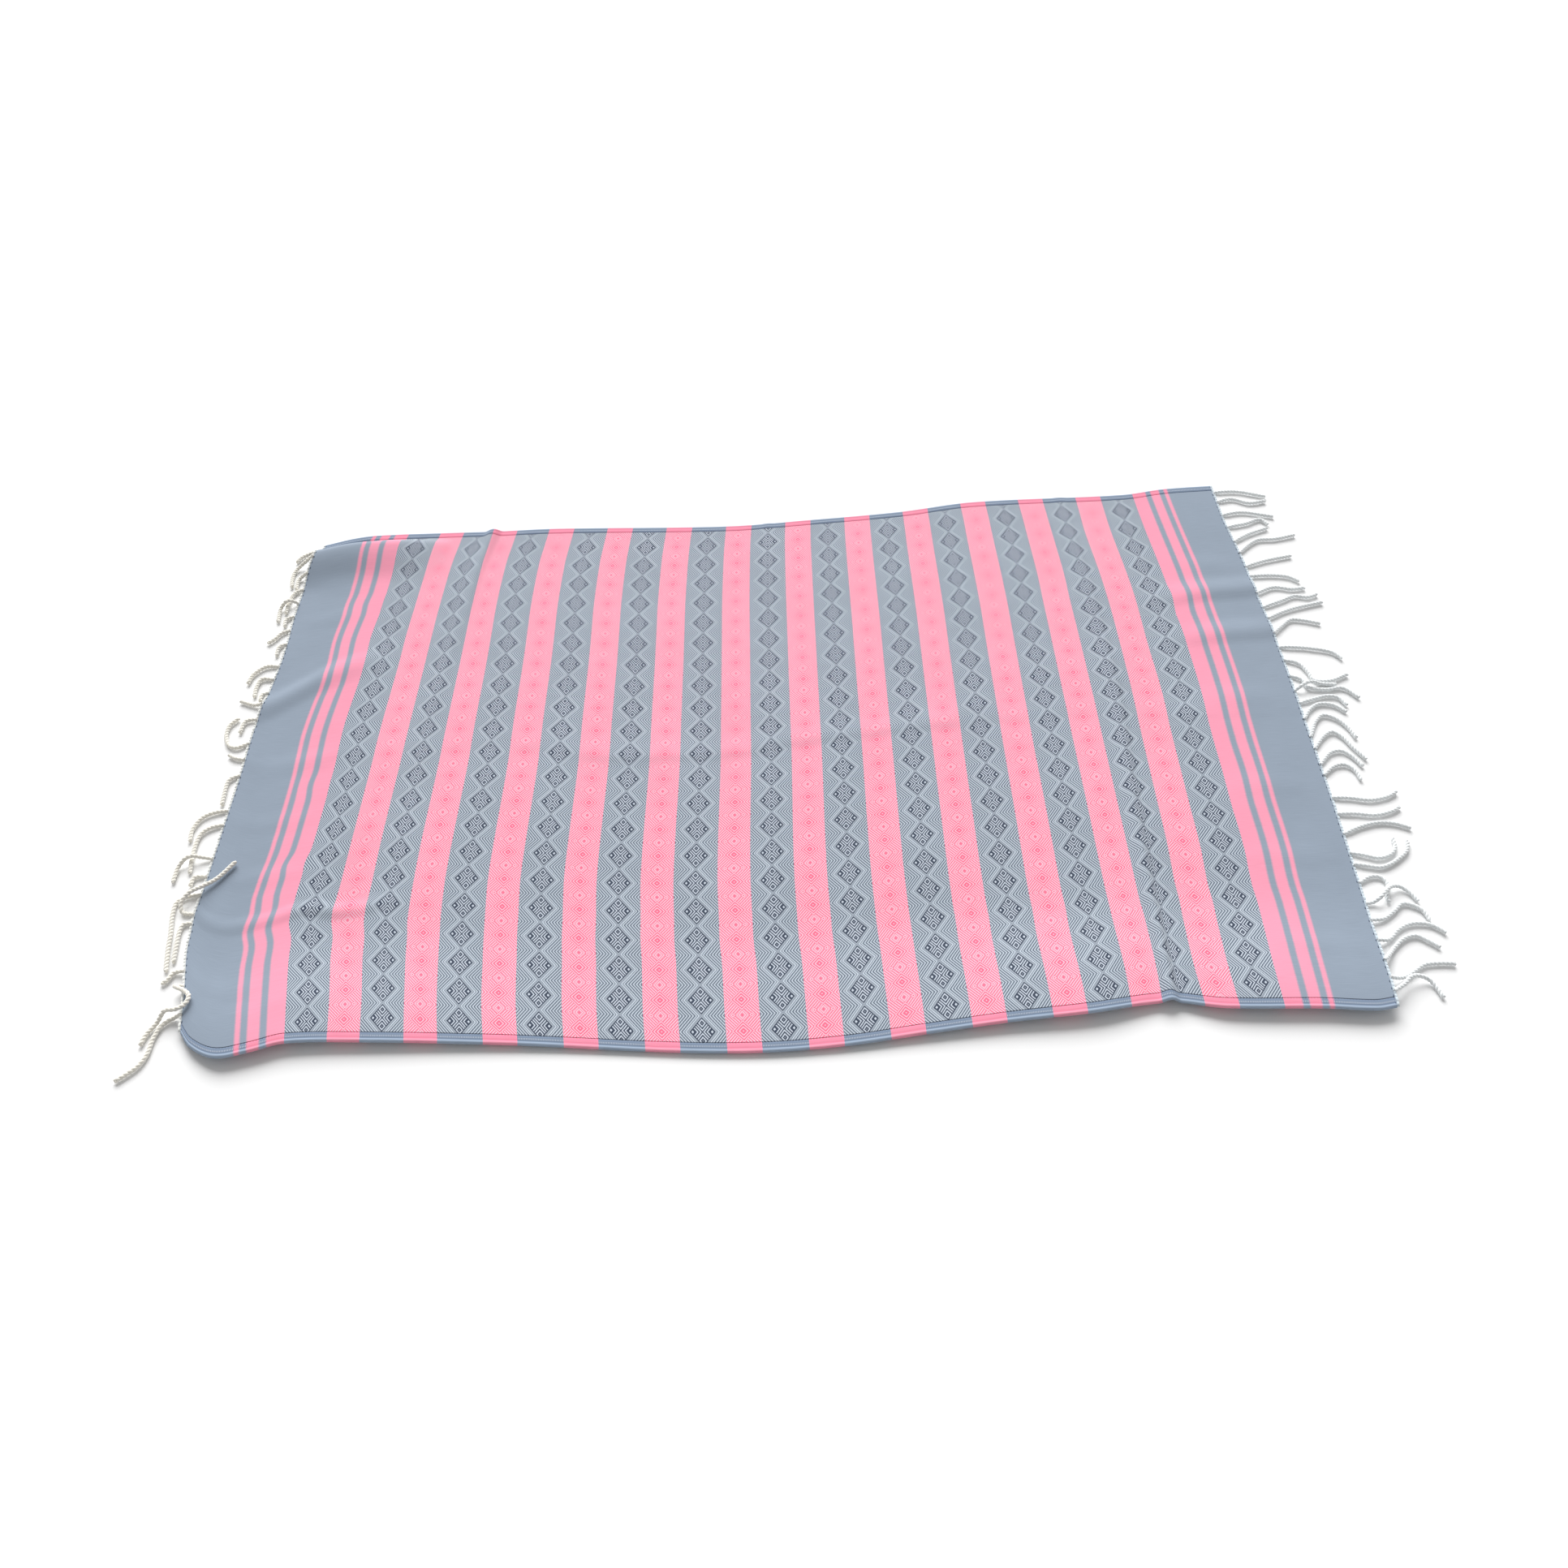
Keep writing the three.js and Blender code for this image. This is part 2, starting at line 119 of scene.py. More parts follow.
# How far the bands have slid sideways at places s along the length: one number for each depth
slide_depths = [0, 60, 130, 165, 195, 260, 330, 470, 550, 680, 745, 811, 910, 957, 1000]
slide = [
    (0, [38, 28, 14, 11, 9, 11, 12, 14, 14, 23, 25, 24, 28, 34, 40]),
    (100, [34, 23, 10, 6, -3, -1, 5, 8, 6, 15, 14, 20, 25, 27, 36]),
    (215, [21, 13, 1, -3, -9, -8, -7, -3, -1, 4, 6, 9, 15, 20, 26]),
    (380, [10, 1, -6, -9, -11, -14, -13, -9, -9, -7, -7, -7, -3, 2, 7]),
    (760, [2, -1, -4, -7, -8, -10, -10, -8, -8, -8, -8, -8, -7, -6, -4]),
    (1145, [-2, -2, -3, -2, -3, -3, -3, -4, -4, -4, -4, -5, -8, -9, -11]),
    (1226, [-6, -3, -2, -3, -3, -3, -3, -3, -3, -4, -5, -5, -9, -11, -13]),
    (1290, [-13, -14, -11, -9, -9, -6, -5, -3, -1, -1, -2, -5, -12, -13, -14]),
    (1430, [-18, -14, -8, -6, -6, -2, -2, 0, 3, 1, -1, -4, -11, -14, -16]),
    (1525, [-18, -13, -9, -6, -5, -3, -1, 0, 1, -1, -5, -7, -15, -16, -17]),
]

# The folds: each crest has (place, line, rise) stations, and falls away over "before" and "after"
folds = [
    dict(name="packing fold along the middle", runs="length", before=20, after=34, crest=[
        (0, 490, 0.3), (350, 512, 0.5), (430, 505, 0.8), (530, 486, 1.2), (640, 490, 1.3), (730, 496, 1.3),
        (790, 508, 1.3), (980, 514, 1.3), (1060, 512, 0.9), (1525, 495, 0.3)]),
    dict(name="standing pleat along the right crosswise fold", runs="width", before=18, after=14, crest=[
        (0, 1244, 7), (130, 1247, 6), (330, 1254, 5), (520, 1264, 4), (850, 1264, 3), (1000, 1262, 1)]),
    dict(name="middle crosswise fold", runs="width", before=14, after=14, crest=[
        (0, 762, 0), (230, 765, 1.5), (520, 764, 1.5), (1000, 761, 1)]),
    dict(name="left crosswise fold", runs="width", before=18, after=18, crest=[
        (450, 264, 0), (640, 270, 2), (800, 281, 3), (1000, 293, 6)]),
    dict(name="near hem lifted off the surface", runs="length", before=0, after=190, crest=[
        (0, 0, 8), (60, 0, 14), (240, 0, 12), (400, 0, 8), (540, 0, 5), (680, 0, 5), (860, 0, 7),
        (1000, 0, 11), (1150, 0, 15), (1244, 0, 9), (1330, 0, 14), (1480, 0, 15), (1525, 0, 14)]),
    dict(name="ridge across the far left corner", runs="length", before=95, after=17, crest=[
        (0, 962, 17), (60, 962, 17), (120, 966, 14), (175, 968, 8), (225, 968, 0)]),
    dict(name="pinched wrinkle near the left end", runs="length", before=18, after=18, crest=[
        (0, 202, 1), (120, 205, 1.8), (160, 214, 2.4), (195, 208, 2.7), (230, 212, 2.2), (255, 222, 1.4),
        (300, 226, 0)]),
    dict(name="slanting wave at the left end", runs="length", before=42, after=34, crest=[
        (0, 600, 5), (85, 668, 4), (190, 700, 0)]),
    dict(name="upper wave at the right end", runs="length", before=26, after=34, crest=[
        (1330, 744, 0), (1440, 747, 3.5), (1525, 750, 4)]),
    dict(name="lower wave at the right end", runs="length", before=26, after=34, crest=[
        (1350, 652, 0), (1450, 656, 3), (1525, 658, 3)]),
]

# Small soft creases: (from s, from t, to s, to t, half width, rise). Each one runs out a little
# beyond its two ends, at this share of its length from its middle
crease_run_out = 0.62
creases = [
    (0, 880, 150, 872, 30, 1.1),
    (0, 792, 110, 806, 26, 0.7),
    (0, 478, 170, 492, 28, 1.1),
    (0, 374, 140, 380, 24, 0.8),
    (10, 284, 160, 276, 24, 1.0),
    (0, 104, 130, 92, 24, 0.8),
    (60, 60, 210, 66, 30, 0.7),
    (1400, 812, 1525, 806, 28, 0.9),
    (1370, 528, 1525, 522, 30, 1.0),
    (1385, 362, 1525, 356, 26, 0.8),
    (1360, 240, 1525, 236, 28, 0.8),
    (1395, 98, 1525, 92, 24, 0.7),
    (262, 40, 268, 440, 16, 0.6),
    (430, 505, 330, 470, 18, 0.5),
    (980, 514, 1120, 560, 22, 0.6),
    (560, 700, 700, 716, 30, 0.5),
    (860, 300, 1010, 286, 34, 0.5),
    (380, 240, 520, 262, 30, 0.5),
    (1080, 760, 1200, 740, 30, 0.5),
]

# Sideways kinks of the bands: (s, t, reach along s, reach along t, shift)
kinks = [
    (95, 216, 60, 36, 4.5),
    (120, 294, 42, 26, -4),
    (112, 440, 36, 30, -2.4),
    (80, 655, 60, 46, 1.6),
    (100, 826, 60, 30, -2.2),
    (1335, 650, 44, 130, -1.8),
    (1418, 385, 50, 60, 1.8),
    (1400, 750, 50, 30, 1.6),
    (1400, 705, 60, 26, -1.6),
]


def smooth(places, values, at):
    """A smooth curve through the values at those places. Each value may be an array like at."""
    places = np.asarray(places, float)
    at = np.clip(np.asarray(at, float), places[0], places[-1])
    rows = np.array([np.broadcast_to(value, at.shape) for value in values], float)
    last = len(places) - 1
    slopes = np.array([
        (rows[min(k + 1, last)] - rows[max(k - 1, 0)]) / (places[min(k + 1, last)] - places[max(k - 1, 0)])
        for k in range(last + 1)
    ])
    below = np.clip(np.searchsorted(places, at, side="right") - 1, 0, last - 1)

    def pick(table, index):
        return np.take_along_axis(table, index[None], 0)[0]

    step = places[below + 1] - places[below]
    u = (at - places[below]) / step
    v = 1 - u
    return (
        pick(rows, below) * v * v * (1 + 2 * u)
        + pick(rows, below + 1) * u * u * (3 - 2 * u)
        + step * u * v * (v * pick(slopes, below) - u * pick(slopes, below + 1))
    )


def column(stations, number):
    return [station[number] for station in stations]


def hump(off, reach):
    """Height of a soft round ridge of height 1, by the distance from its crest."""
    return np.where(np.abs(off) < reach, (1 + np.cos(np.pi * off / reach)) / 2, 0)


def rise_of(s, t):
    """Height of the cloth's underside above the floor."""
    rise = np.zeros(np.broadcast(s, t).shape)
    for fold in folds:
        along, across = (s, t) if fold["runs"] == "length" else (t, s)
        places = column(fold["crest"], 0)
        off = across - smooth(places, column(fold["crest"], 1), along)
        reach = np.where(off < 0, fold["before"], fold["after"])
        crest = np.maximum(0, smooth(places, column(fold["crest"], 2), along))
        rise += np.where(np.abs(off) < reach, crest * hump(off, np.maximum(reach, 1)), 0)
    for from_s, from_t, to_s, to_t, half_width, height in creases:
        length = math.hypot(to_s - from_s, to_t - from_t)
        way_s = (to_s - from_s) / length
        way_t = (to_t - from_t) / length
        along = (s - from_s) * way_s + (t - from_t) * way_t
        off = (t - from_t) * way_s - (s - from_s) * way_t
        rise += height * hump(off, half_width) * hump(along - length / 2, length * crease_run_out)
    return rise


def underside(s, t):
    """Places of the cloth's underside in the row frame, in millimetres."""
    s, t = np.broadcast_arrays(np.asarray(s, float), np.asarray(t, float))
    slid = [smooth(slide_depths, by_depth, t) for _, by_depth in slide]
    x = s - cloth_length / 2 + smooth(column(slide, 0), slid, s)
    for at_s, at_t, reach_s, reach_t, shift in kinks:
        x = x + shift * hump(s - at_s, reach_s) * hump(t - at_t, reach_t)
    near = smooth(column(near_edge, 0), column(near_edge, 1), s)
    far = smooth(column(far_edge, 0), column(far_edge, 1), s)
    y = near + (far - near) * t / cloth_width
    return np.stack([x - outline_middle[0], y - outline_middle[1], rise_of(s, t)], axis=-1)


def above(s, t, up):
    """Places "up" from the underside, square to the cloth; at the two ends the cut is upright."""
    probe = 1
    along_s = underside(s + probe, t) - underside(s - probe, t)
    along_t = underside(s, t + probe) - underside(s, t - probe)
    square = np.cross(along_s, along_t)
    shape = square.shape[:-1]
    at_s = np.broadcast_to(s, shape)
    at_cut = (at_s <= 0) | (at_s >= cloth_length)
    square[..., 0] = np.where(at_cut, 0, square[..., 0])
    square /= np.linalg.norm(square, axis=-1, keepdims=True)
    return underside(s, t) + square * np.broadcast_to(up, shape)[..., None]


def cut_lines(start, end, fine_bands, fine, coarse):
    """Mesh lines from start to end, close together across the folds and beside the two rims."""
    lines = [start, start + rim]
    while lines[-1] < end - rim:
        at = lines[-1]
        step = fine if any(low - coarse <= at < high for low, high in fine_bands) else coarse
        lines.append(min(at + step, end - rim))
    lines.append(end)
    return np.array(lines)


def closed_body(name, rings, places):
    """A closed mesh through rings of points, in metres. Each ring is a lower row and an upper row
    back over it. The place of each point on the cut cloth becomes the UV map "cut", in metres."""
    count, size = rings.shape[:2]
    corner = np.arange(count * size).reshape(count, size)
    following = np.roll(corner, -1, axis=1)
    sides = np.stack([corner[:-1], following[:-1], following[1:], corner[1:]], axis=-1).reshape(-1, 4)
    k = np.arange(size // 2 - 1)
    caps = [
        np.stack([ring[k], ring[size - 1 - k], ring[size - 2 - k], ring[k + 1]], axis=-1)
        for ring in (corner[0], corner[-1])
    ]
    faces = np.concatenate([sides, caps[0], caps[1][:, ::-1]])
    mesh = bpy.data.meshes.new(name)
    mesh.from_pydata((rings.reshape(-1, 3) * metres).tolist(), [], faces.tolist())
    mesh.polygons.foreach_set("use_smooth", np.ones(len(faces), bool))
    cut = mesh.uv_layers.new(name="cut")
    cut.data.foreach_set("uv", (places.reshape(-1, 2)[faces.reshape(-1)] * metres).ravel())
    mesh.update()
    piece = bpy.data.objects.new(name, mesh)
    bpy.context.scene.collection.objects.link(piece)
    return piece


fine_s = [(246, 312), (746, 780), (1226, 1284)]
fine_t = [(60, 90), (186, 244), (474, 546), (700, 712)]
s_lines = cut_lines(0, cloth_length, fine_s, 4.0, 6.8)
t_lines = cut_lines(hem_width + seam_gap, cloth_width - hem_width - seam_gap, fine_t, 3.2, 6.8)
s_grid, t_grid = np.meshgrid(s_lines, t_lines, indexing="ij")
lower = underside(s_grid, t_grid)
upper = above(s_grid, t_grid, cloth_thickness)
cloth_rings = np.concatenate([lower, upper[:, ::-1]], axis=1)

# The lozenges of the bands don't start level, because the weft was beaten up unevenly: (s, drift in t)
weft_drift = [
    (0, -2), (166, -1.8), (265, 4), (365, 0.5), (464, -2.2), (564, -3.8), (663, -2.2), (763, 0),
    (862, 0.2), (962, 3.5), (1061, 2.2), (1161, 0.7), (1260, 3.4), (1360, 5.7), (1525, 6),
]
woven_t = t_grid - smooth(column(weft_drift, 0), column(weft_drift, 1), s_grid)
woven = np.stack([s_grid, woven_t], axis=-1)
cloth = closed_body("cloth", cloth_rings, np.concatenate([woven, woven[:, ::-1]], axis=1))

# Bands from each end towards the middle, in millimetres: (where it starts, 1 for pink or 0 for grey)
end_bands = [(0, 0), (75, 1), (83, 0), (90.5, 1), (106, 0), (113.5, 1), (137.5, 0)]
figured_from = 137.5
grey_band = 56.9
pink_band = 42.6
ragged_edge = 1.4

# The figure repeats along each band. Its thin lines are one line_pitch apart, and line_middle is their
# mean tone. A slope is a diamond's reach across the band as a share of its reach along it.
motif_pitch = 46.1
first_motif = 30
line_pitch = 3.8
line_middle = 0.5

# Where a pink diamond is light or deep, from its middle outwards, in millimetres: (distance, tone).
# A big diamond stands level with each grey lozenge, a small one with two eyes between them.
big_diamond = [(0, 1), (1.05, 0), (4.5, 1), (6.1, 0), (8.6, 1), (10.2, 0), (12.4, 1), (13.9, 0)]
big_slope = 0.9
big_reach = 14.8
small_diamond = [(0, 0), (1.9, 0.35), (3.3, 1), (4.9, 0), (6.0, 1), (7.6, 0)]
small_slope = 0.76
small_reach = 8.2
eye_diamond = [(0, 0), (1.3, 1), (2.9, 0)]
eye_slope = 0.9
eye_reach = 3.9
eye_across = 11.5
edge_slope = 0.83
first_edge_line = 15.6
edge_contrast = 1.1

# The grey lozenge: a dark border, a dark cross, light angles beside it, an eye ring at top and bottom
lozenge_slope = 0.752
lozenge_reach = 16.1
border_from = 14.2
side_angles = [(0, 0), (0.9, 1), (2.7, 0), (4.8, 1), (6.6, 0)]
side_dot_at = 11.9
side_dot_half = 1.7
tip_angles = [(0, 0), (0.9, 1), (2.7, 0)]
eye_ring = [(0, 0.4), (1.0, 0), (2.9, 1), (4.7, 0)]
eye_ring_at = 9.5
outer_lines = [(0, 0), (16.1, 0.9), (17.0, 0.2), (17.8, 0.75), (18.6, 0), (19.3, 1), (21.4, 0)]
outer_reach = 21.8
first_chevron = 23.4
chevron_contrast = 0.8

# Distances at which the tables above end, each a little beyond its last step
small_table_end = 15
big_diamond_end = 20
outer_lines_end = 30

grey_light = (202, 212, 223)
grey_dark = (96, 108, 124)
lozenge_light = (206, 215, 227)
lozenge_dark = (66, 76, 94)
plain_grey = (150, 163, 179)
pink_light = (255, 204, 221)
pink_deep = (255, 120, 151)
plain_pink = (255, 163, 188)
light_on_towel = 1.2

# Strength of the dye: the least, and what the streaks, the clouds and the grain add at most
least_strength = 0.80
streak_strength = 0.22
cloud_strength = 0.12
grain_strength = 0.06

# Relief: how high the figure, the rib and the streaks stand, as shares of the relief's depth
figure_height = 0.5
rib_height = 0.1
streak_height = 0.6
rib_pitch_s = 1.1
rib_pitch_t = 0.9
relief_strength = 0.5
relief_depth = 0.00012


def dye(red, green, blue):
    """Colour of the cotton itself, from how it looks in the light that falls on it here."""
    tones = []
    for tone in (red, green, blue):
        share = tone / 255
        linear = share / 12.92 if share <= 0.04045 else ((share + 0.055) / 1.055) ** 2.4
        tones.append(linear / light_on_towel)
    return (*tones, 1)


def maths(tree, operation, *values):
    """One maths node; a value is a number or another node's output."""
    node = tree.nodes.new("ShaderNodeMath")
    node.operation = operation
    for socket, value in zip(node.inputs, values):
        if isinstance(value, (int, float)):
            socket.default_value = value
        else:
            tree.links.new(value, socket)
    return node.outputs[0]


def apart(tree, first, second):
    """How far apart two values are."""
    return maths(tree, "ABSOLUTE", maths(tree, "SUBTRACT", first, second))


def chosen(tree, inside, one, other):
    """One tone where inside is 1, the other where it is 0."""
    return maths(tree, "ADD", maths(tree, "MULTIPLY", inside, one),
                 maths(tree, "MULTIPLY", maths(tree, "SUBTRACT", 1, inside), other))


def diamond(tree, across, along, slope):
    """Distance from a diamond's middle, measured across the band."""
    return maths(tree, "ADD", across, maths(tree, "MULTIPLY", along, slope))


def thin_lines(tree, distance, first, contrast):
    """Tone of even thin lines: 1 on the first line and at each line_pitch from it, 0 between them."""
    turn = maths(tree, "MULTIPLY", maths(tree, "SUBTRACT", distance, first), 2 * math.pi / line_pitch)
    tone = maths(tree, "MULTIPLY_ADD", maths(tree, "COSINE", turn), contrast, line_middle)
    return maths(tree, "MINIMUM", maths(tree, "MAXIMUM", tone, 0), 1)


def blend_colours(tree, share, first, second):
    """The first colour where share is 0 and the second where it is 1."""
    node = tree.nodes.new("ShaderNodeMix")
    node.data_type = "RGBA"
    for socket, value in ((node.inputs[0], share), (node.inputs[6], first), (node.inputs[7], second)):
        if isinstance(value, (int, float, tuple)):
            socket.default_value = value
        else:
            tree.links.new(value, socket)
    return node.outputs[2]


def step_tones(tree, distance, reach, steps, soft=0.25):
    """Tone by distance, in soft steps: each (distance, tone) holds from there on."""
    ramp = tree.nodes.new("ShaderNodeValToRGB")
    stops = ramp.color_ramp
    stops.elements[0].position = 0
    stops.elements[0].color = (steps[0][1],) * 3 + (1,)
    stops.elements[1].position = 1
    stops.elements[1].color = (steps[-1][1],) * 3 + (1,)
    for (_, before), (at, after) in zip(steps, steps[1:]):
        for edge, tone in ((at - soft / 2, before), (at + soft / 2, after)):
            stops.elements.new(edge / reach).color = (tone,) * 3 + (1,)
    tree.links.new(maths(tree, "DIVIDE", distance, reach), ramp.inputs[0])
    return ramp.outputs[0]


def cut_places(tree):
    """The two places on the cut cloth, s and t, in millimetres."""
    cut = tree.nodes.new("ShaderNodeUVMap")
    cut.uv_map = "cut"
    parts = tree.nodes.new("ShaderNodeSeparateXYZ")
    tree.links.new(cut.outputs[0], parts.inputs[0])
    return [maths(tree, "MULTIPLY", parts.outputs[axis], 1 / metres) for axis in (0, 1)]


def bands(tree, s):
    """How pink the cloth is there, whether it is figured, and the place across the figured bands."""
    from_end = maths(tree, "SUBTRACT", cloth_length / 2, apart(tree, s, cloth_length / 2))
    end_pink = step_tones(tree, from_end, cloth_length / 2, end_bands, soft=0.5)
    figured = maths(tree, "GREATER_THAN", from_end, figured_from)
    across = maths(tree, "FLOORED_MODULO", maths(tree, "SUBTRACT", s, figured_from), grey_band + pink_band)
    in_pink = maths(tree, "GREATER_THAN", across, grey_band)
    return chosen(tree, figured, in_pink, end_pink), figured, across


def noise(tree, vector, scale=1, detail=2):
    node = tree.nodes.new("ShaderNodeTexNoise")
    node.inputs["Scale"].default_value = scale
    node.inputs["Detail"].default_value = detail
    tree.links.new(vector, node.inputs["Vector"])
    return node.outputs[0]


def stretched(tree, s, t, by_s, by_t):
    """Places for a noise that is long one way and short the other."""
    node = tree.nodes.new("ShaderNodeCombineXYZ")
    tree.links.new(maths(tree, "MULTIPLY", s, by_s), node.inputs[0])
    tree.links.new(maths(tree, "MULTIPLY", t, by_t), node.inputs[1])
    return node.outputs[0]


def dyed(tree, shader, colour, strength):
    """Gives the shader that colour, weaker or stronger from place to place."""
    shade = tree.nodes.new("ShaderNodeVectorMath")
    shade.operation = "SCALE"
    tree.links.new(colour, shade.inputs[0])
    tree.links.new(strength, shade.inputs["Scale"])
    tree.links.new(shade.outputs[0], shader.inputs["Base Color"])


def relief(tree, shader, height, strength, depth):
    """Gives the shader a fine relief."""
    bump = tree.nodes.new("ShaderNodeBump")
    bump.inputs["Strength"].default_value = strength
    bump.inputs["Distance"].default_value = depth
    tree.links.new(height, bump.inputs["Height"])
    tree.links.new(bump.outputs[0], shader.inputs["Normal"])


weave, tree, shader = surface_material("figured cotton weave", 0.88)
shader.inputs["Sheen Weight"].default_value = 0.12
shader.inputs["Sheen Roughness"].default_value = 0.5
s, t = cut_places(tree)

# The band edges are ragged by a yarn or so
edge_noise = maths(tree, "SUBTRACT", noise(tree, stretched(tree, s, t, by_s=0.02, by_t=0.9)), 0.5)
pink, figured, across = bands(tree, maths(tree, "ADD", s, maths(tree, "MULTIPLY", edge_noise, ragged_edge)))
repeat = maths(tree, "SUBTRACT", t, first_motif - motif_pitch / 2)
along = apart(tree, maths(tree, "FLOORED_MODULO", repeat, motif_pitch), motif_pitch / 2)
from_small = maths(tree, "SUBTRACT", motif_pitch / 2, along)

# Grey repeat, from the middle line of the band and of the lozenge
grey_across = apart(tree, across, grey_band / 2)
ring = diamond(tree, grey_across, along, lozenge_slope)
slant = maths(tree, "MULTIPLY", along, lozenge_slope)
beside_cross = apart(tree, grey_across, slant)
at_side = maths(tree, "GREATER_THAN", grey_across, slant)
in_lozenge = maths(tree, "LESS_THAN", ring, lozenge_reach)
in_border = maths(tree, "LESS_THAN", ring, border_from)


def ring_round(centre):
    """Distance from a small ring's middle inside the lozenge, in the directions of its sides."""
    return maths(tree, "MAXIMUM", apart(tree, ring, centre), apart(tree, beside_cross, centre))


side_dot = maths(tree, "LESS_THAN", ring_round(side_dot_at), side_dot_half)
side_tone = maths(tree, "MAXIMUM", step_tones(tree, beside_cross, small_table_end, side_angles), side_dot)
tip_tone = maths(tree, "MAXIMUM", step_tones(tree, beside_cross, small_table_end, tip_angles),
                 step_tones(tree, ring_round(eye_ring_at), small_table_end, eye_ring))
inner_tone = maths(tree, "MULTIPLY", chosen(tree, at_side, side_tone, tip_tone), in_border)
outer_tone = chosen(tree, maths(tree, "LESS_THAN", ring, outer_reach),
                    step_tones(tree, ring, outer_lines_end, outer_lines),
                    thin_lines(tree, ring, first_chevron, chevron_contrast))
grey = blend_colours(tree, in_lozenge,
                     blend_colours(tree, outer_tone, dye(*grey_dark), dye(*grey_light)),
                     blend_colours(tree, inner_tone, dye(*lozenge_dark), dye(*lozenge_light)))
grey = blend_colours(tree, figured, dye(*plain_grey), grey)

# Pink repeat, tone on tone: thin lines, and over them the eyes, the small diamond and the big one
pink_across = apart(tree, across, grey_band + pink_band / 2)
edge_ring = diamond(tree, pink_across, from_small, edge_slope)
eye = diamond(tree, apart(tree, pink_across, eye_across), from_small, eye_slope)
small_ring = diamond(tree, pink_across, from_small, small_slope)
big_ring = diamond(tree, pink_across, along, big_slope)
pink_tone = thin_lines(tree, edge_ring, first_edge_line, edge_contrast)
for distance, reach, table_end, steps in (
    (eye, eye_reach, small_table_end, eye_diamond),
    (small_ring, small_reach, small_table_end, small_diamond),
    (big_ring, big_reach, big_diamond_end, big_diamond),
):
    inside = maths(tree, "LESS_THAN", distance, reach)
    pink_tone = chosen(tree, inside, step_tones(tree, distance, table_end, steps), pink_tone)
rose = blend_colours(tree, pink_tone, dye(*pink_deep), dye(*pink_light))
rose = blend_colours(tree, figured, dye(*plain_pink), rose)

# Yarns: long thin streaks along the warp, broad clouds of stronger and weaker dye, and a fine grain
streaks = noise(tree, stretched(tree, s, t, by_s=0.035, by_t=1.1), detail=3)
clouds = noise(tree, stretched(tree, s, t, by_s=0.012, by_t=0.012))
grain = noise(tree, stretched(tree, s, t, by_s=1.3, by_t=1.3), detail=1)
strength = maths(tree, "MULTIPLY_ADD", streaks, streak_strength, least_strength)
strength = maths(tree, "ADD", strength, maths(tree, "MULTIPLY", clouds, cloud_strength))
strength = maths(tree, "ADD", strength, maths(tree, "MULTIPLY", grain, grain_strength))
dyed(tree, shader, blend_colours(tree, pink, grey, rose), strength)

# The light floats of the figure stand up from the ground, over the rib of the single yarns
figure = chosen(tree, pink, maths(tree, "MULTIPLY", pink_tone, figured),
                maths(tree, "MULTIPLY", chosen(tree, in_lozenge, inner_tone, outer_tone), figured))
rib = maths(tree, "MULTIPLY",
            maths(tree, "SINE", maths(tree, "MULTIPLY", s, 2 * math.pi / rib_pitch_s)),
            maths(tree, "SINE", maths(tree, "MULTIPLY", t, 2 * math.pi / rib_pitch_t)))
height = maths(tree, "ADD", maths(tree, "MULTIPLY", figure, figure_height),
               maths(tree, "MULTIPLY", rib, rib_height))
height = maths(tree, "ADD", height, maths(tree, "MULTIPLY", streaks, streak_height))
relief(tree, shader, height, relief_strength, relief_depth)

cloth.data.materials.append(weave)
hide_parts("cloth")
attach(cloth, "root")


# The hems
# Each long edge is turned twice and stitched down: a rolled outer fold, a flat band with a row of
# open ladder holes, and a row of machine stitches along its inner edge. Same cotton as the cloth.
hem_lower = [
    (0.0, 0.6), (0.4, 0.2), (1.1, 0), (2.3, 0), (4.2, 0), (5.4, 0), (7.2, 0), (9.4, 0), (11.4, 0),
    (12.6, 0.1), (13.0, 0.5),
]
hem_upper = [
    (0.0, 1.1), (0.3, 1.7), (1.0, 2.2), (2.3, 2.35), (3.4, 2.2), (4.3, 1.85), (5.6, 2.0), (8.6, 2.2),
    (11.2, 2.1), (12.4, 1.7), (13.0, 1.2),
]
hem_spacing = 4.0
hem_steps = np.concatenate([np.arange(0, cloth_length, hem_spacing), [cloth_length]])
hem_steps = np.insert(hem_steps, [1, len(hem_steps) - 1], [rim, cloth_length - rim])

# The hem's thickness wanders by up to wander_amount of itself, over each wander_spacing millimetres
wander_spacing = 34
wander_amount = 0.028
uneven = np.random.default_rng(7)

# Tones across the hem, from its outer fold inwards, in millimetres: (where it starts, tone). The rolled
# fold's tone is a painted highlight.
hem_roll_highlight = [(0, 1), (3.9, 0)]
ladder_row = [(0, 0), (6.4, 1), (8.6, 0)]
hem_table_end = 15
ladder_pitch = 1.9
ladder_gap = 0.1
ladder_in_grey = 0.75
ladder_in_pink = 0.35
ladder_height = 0.6
hem_least_strength = 0.85
hem_streak_strength = 0.3

flat_grey = (128, 144, 167)
# painted highlight: the hem's grey made lighter on the rolled fold, for the light that falls on it
roll_grey_highlight = (166, 183, 204)
ladder_grey = (205, 214, 226)
# painted shade: the hem's grey made darker for the thread, for the shade where the stitches sink in
shaded_thread_grey = (112, 126, 148)
flat_pink = (255, 148, 175)
# painted highlight: the hem's pink made lighter on the rolled fold, for the light that falls on it
roll_pink_highlight = (255, 165, 188)
ladder_pink = (255, 178, 198)
# painted shade: the hem's pink made darker for the thread, for the shade where the stitches sink in
shaded_thread_pink = (238, 140, 166)


def turned_over(rings, lower_count):
    """Rings for the far or right side: each row runs the other way, so that faces still look outwards."""
    return np.concatenate([rings[:, :lower_count][:, ::-1], rings[:, lower_count:][:, ::-1]], axis=1)


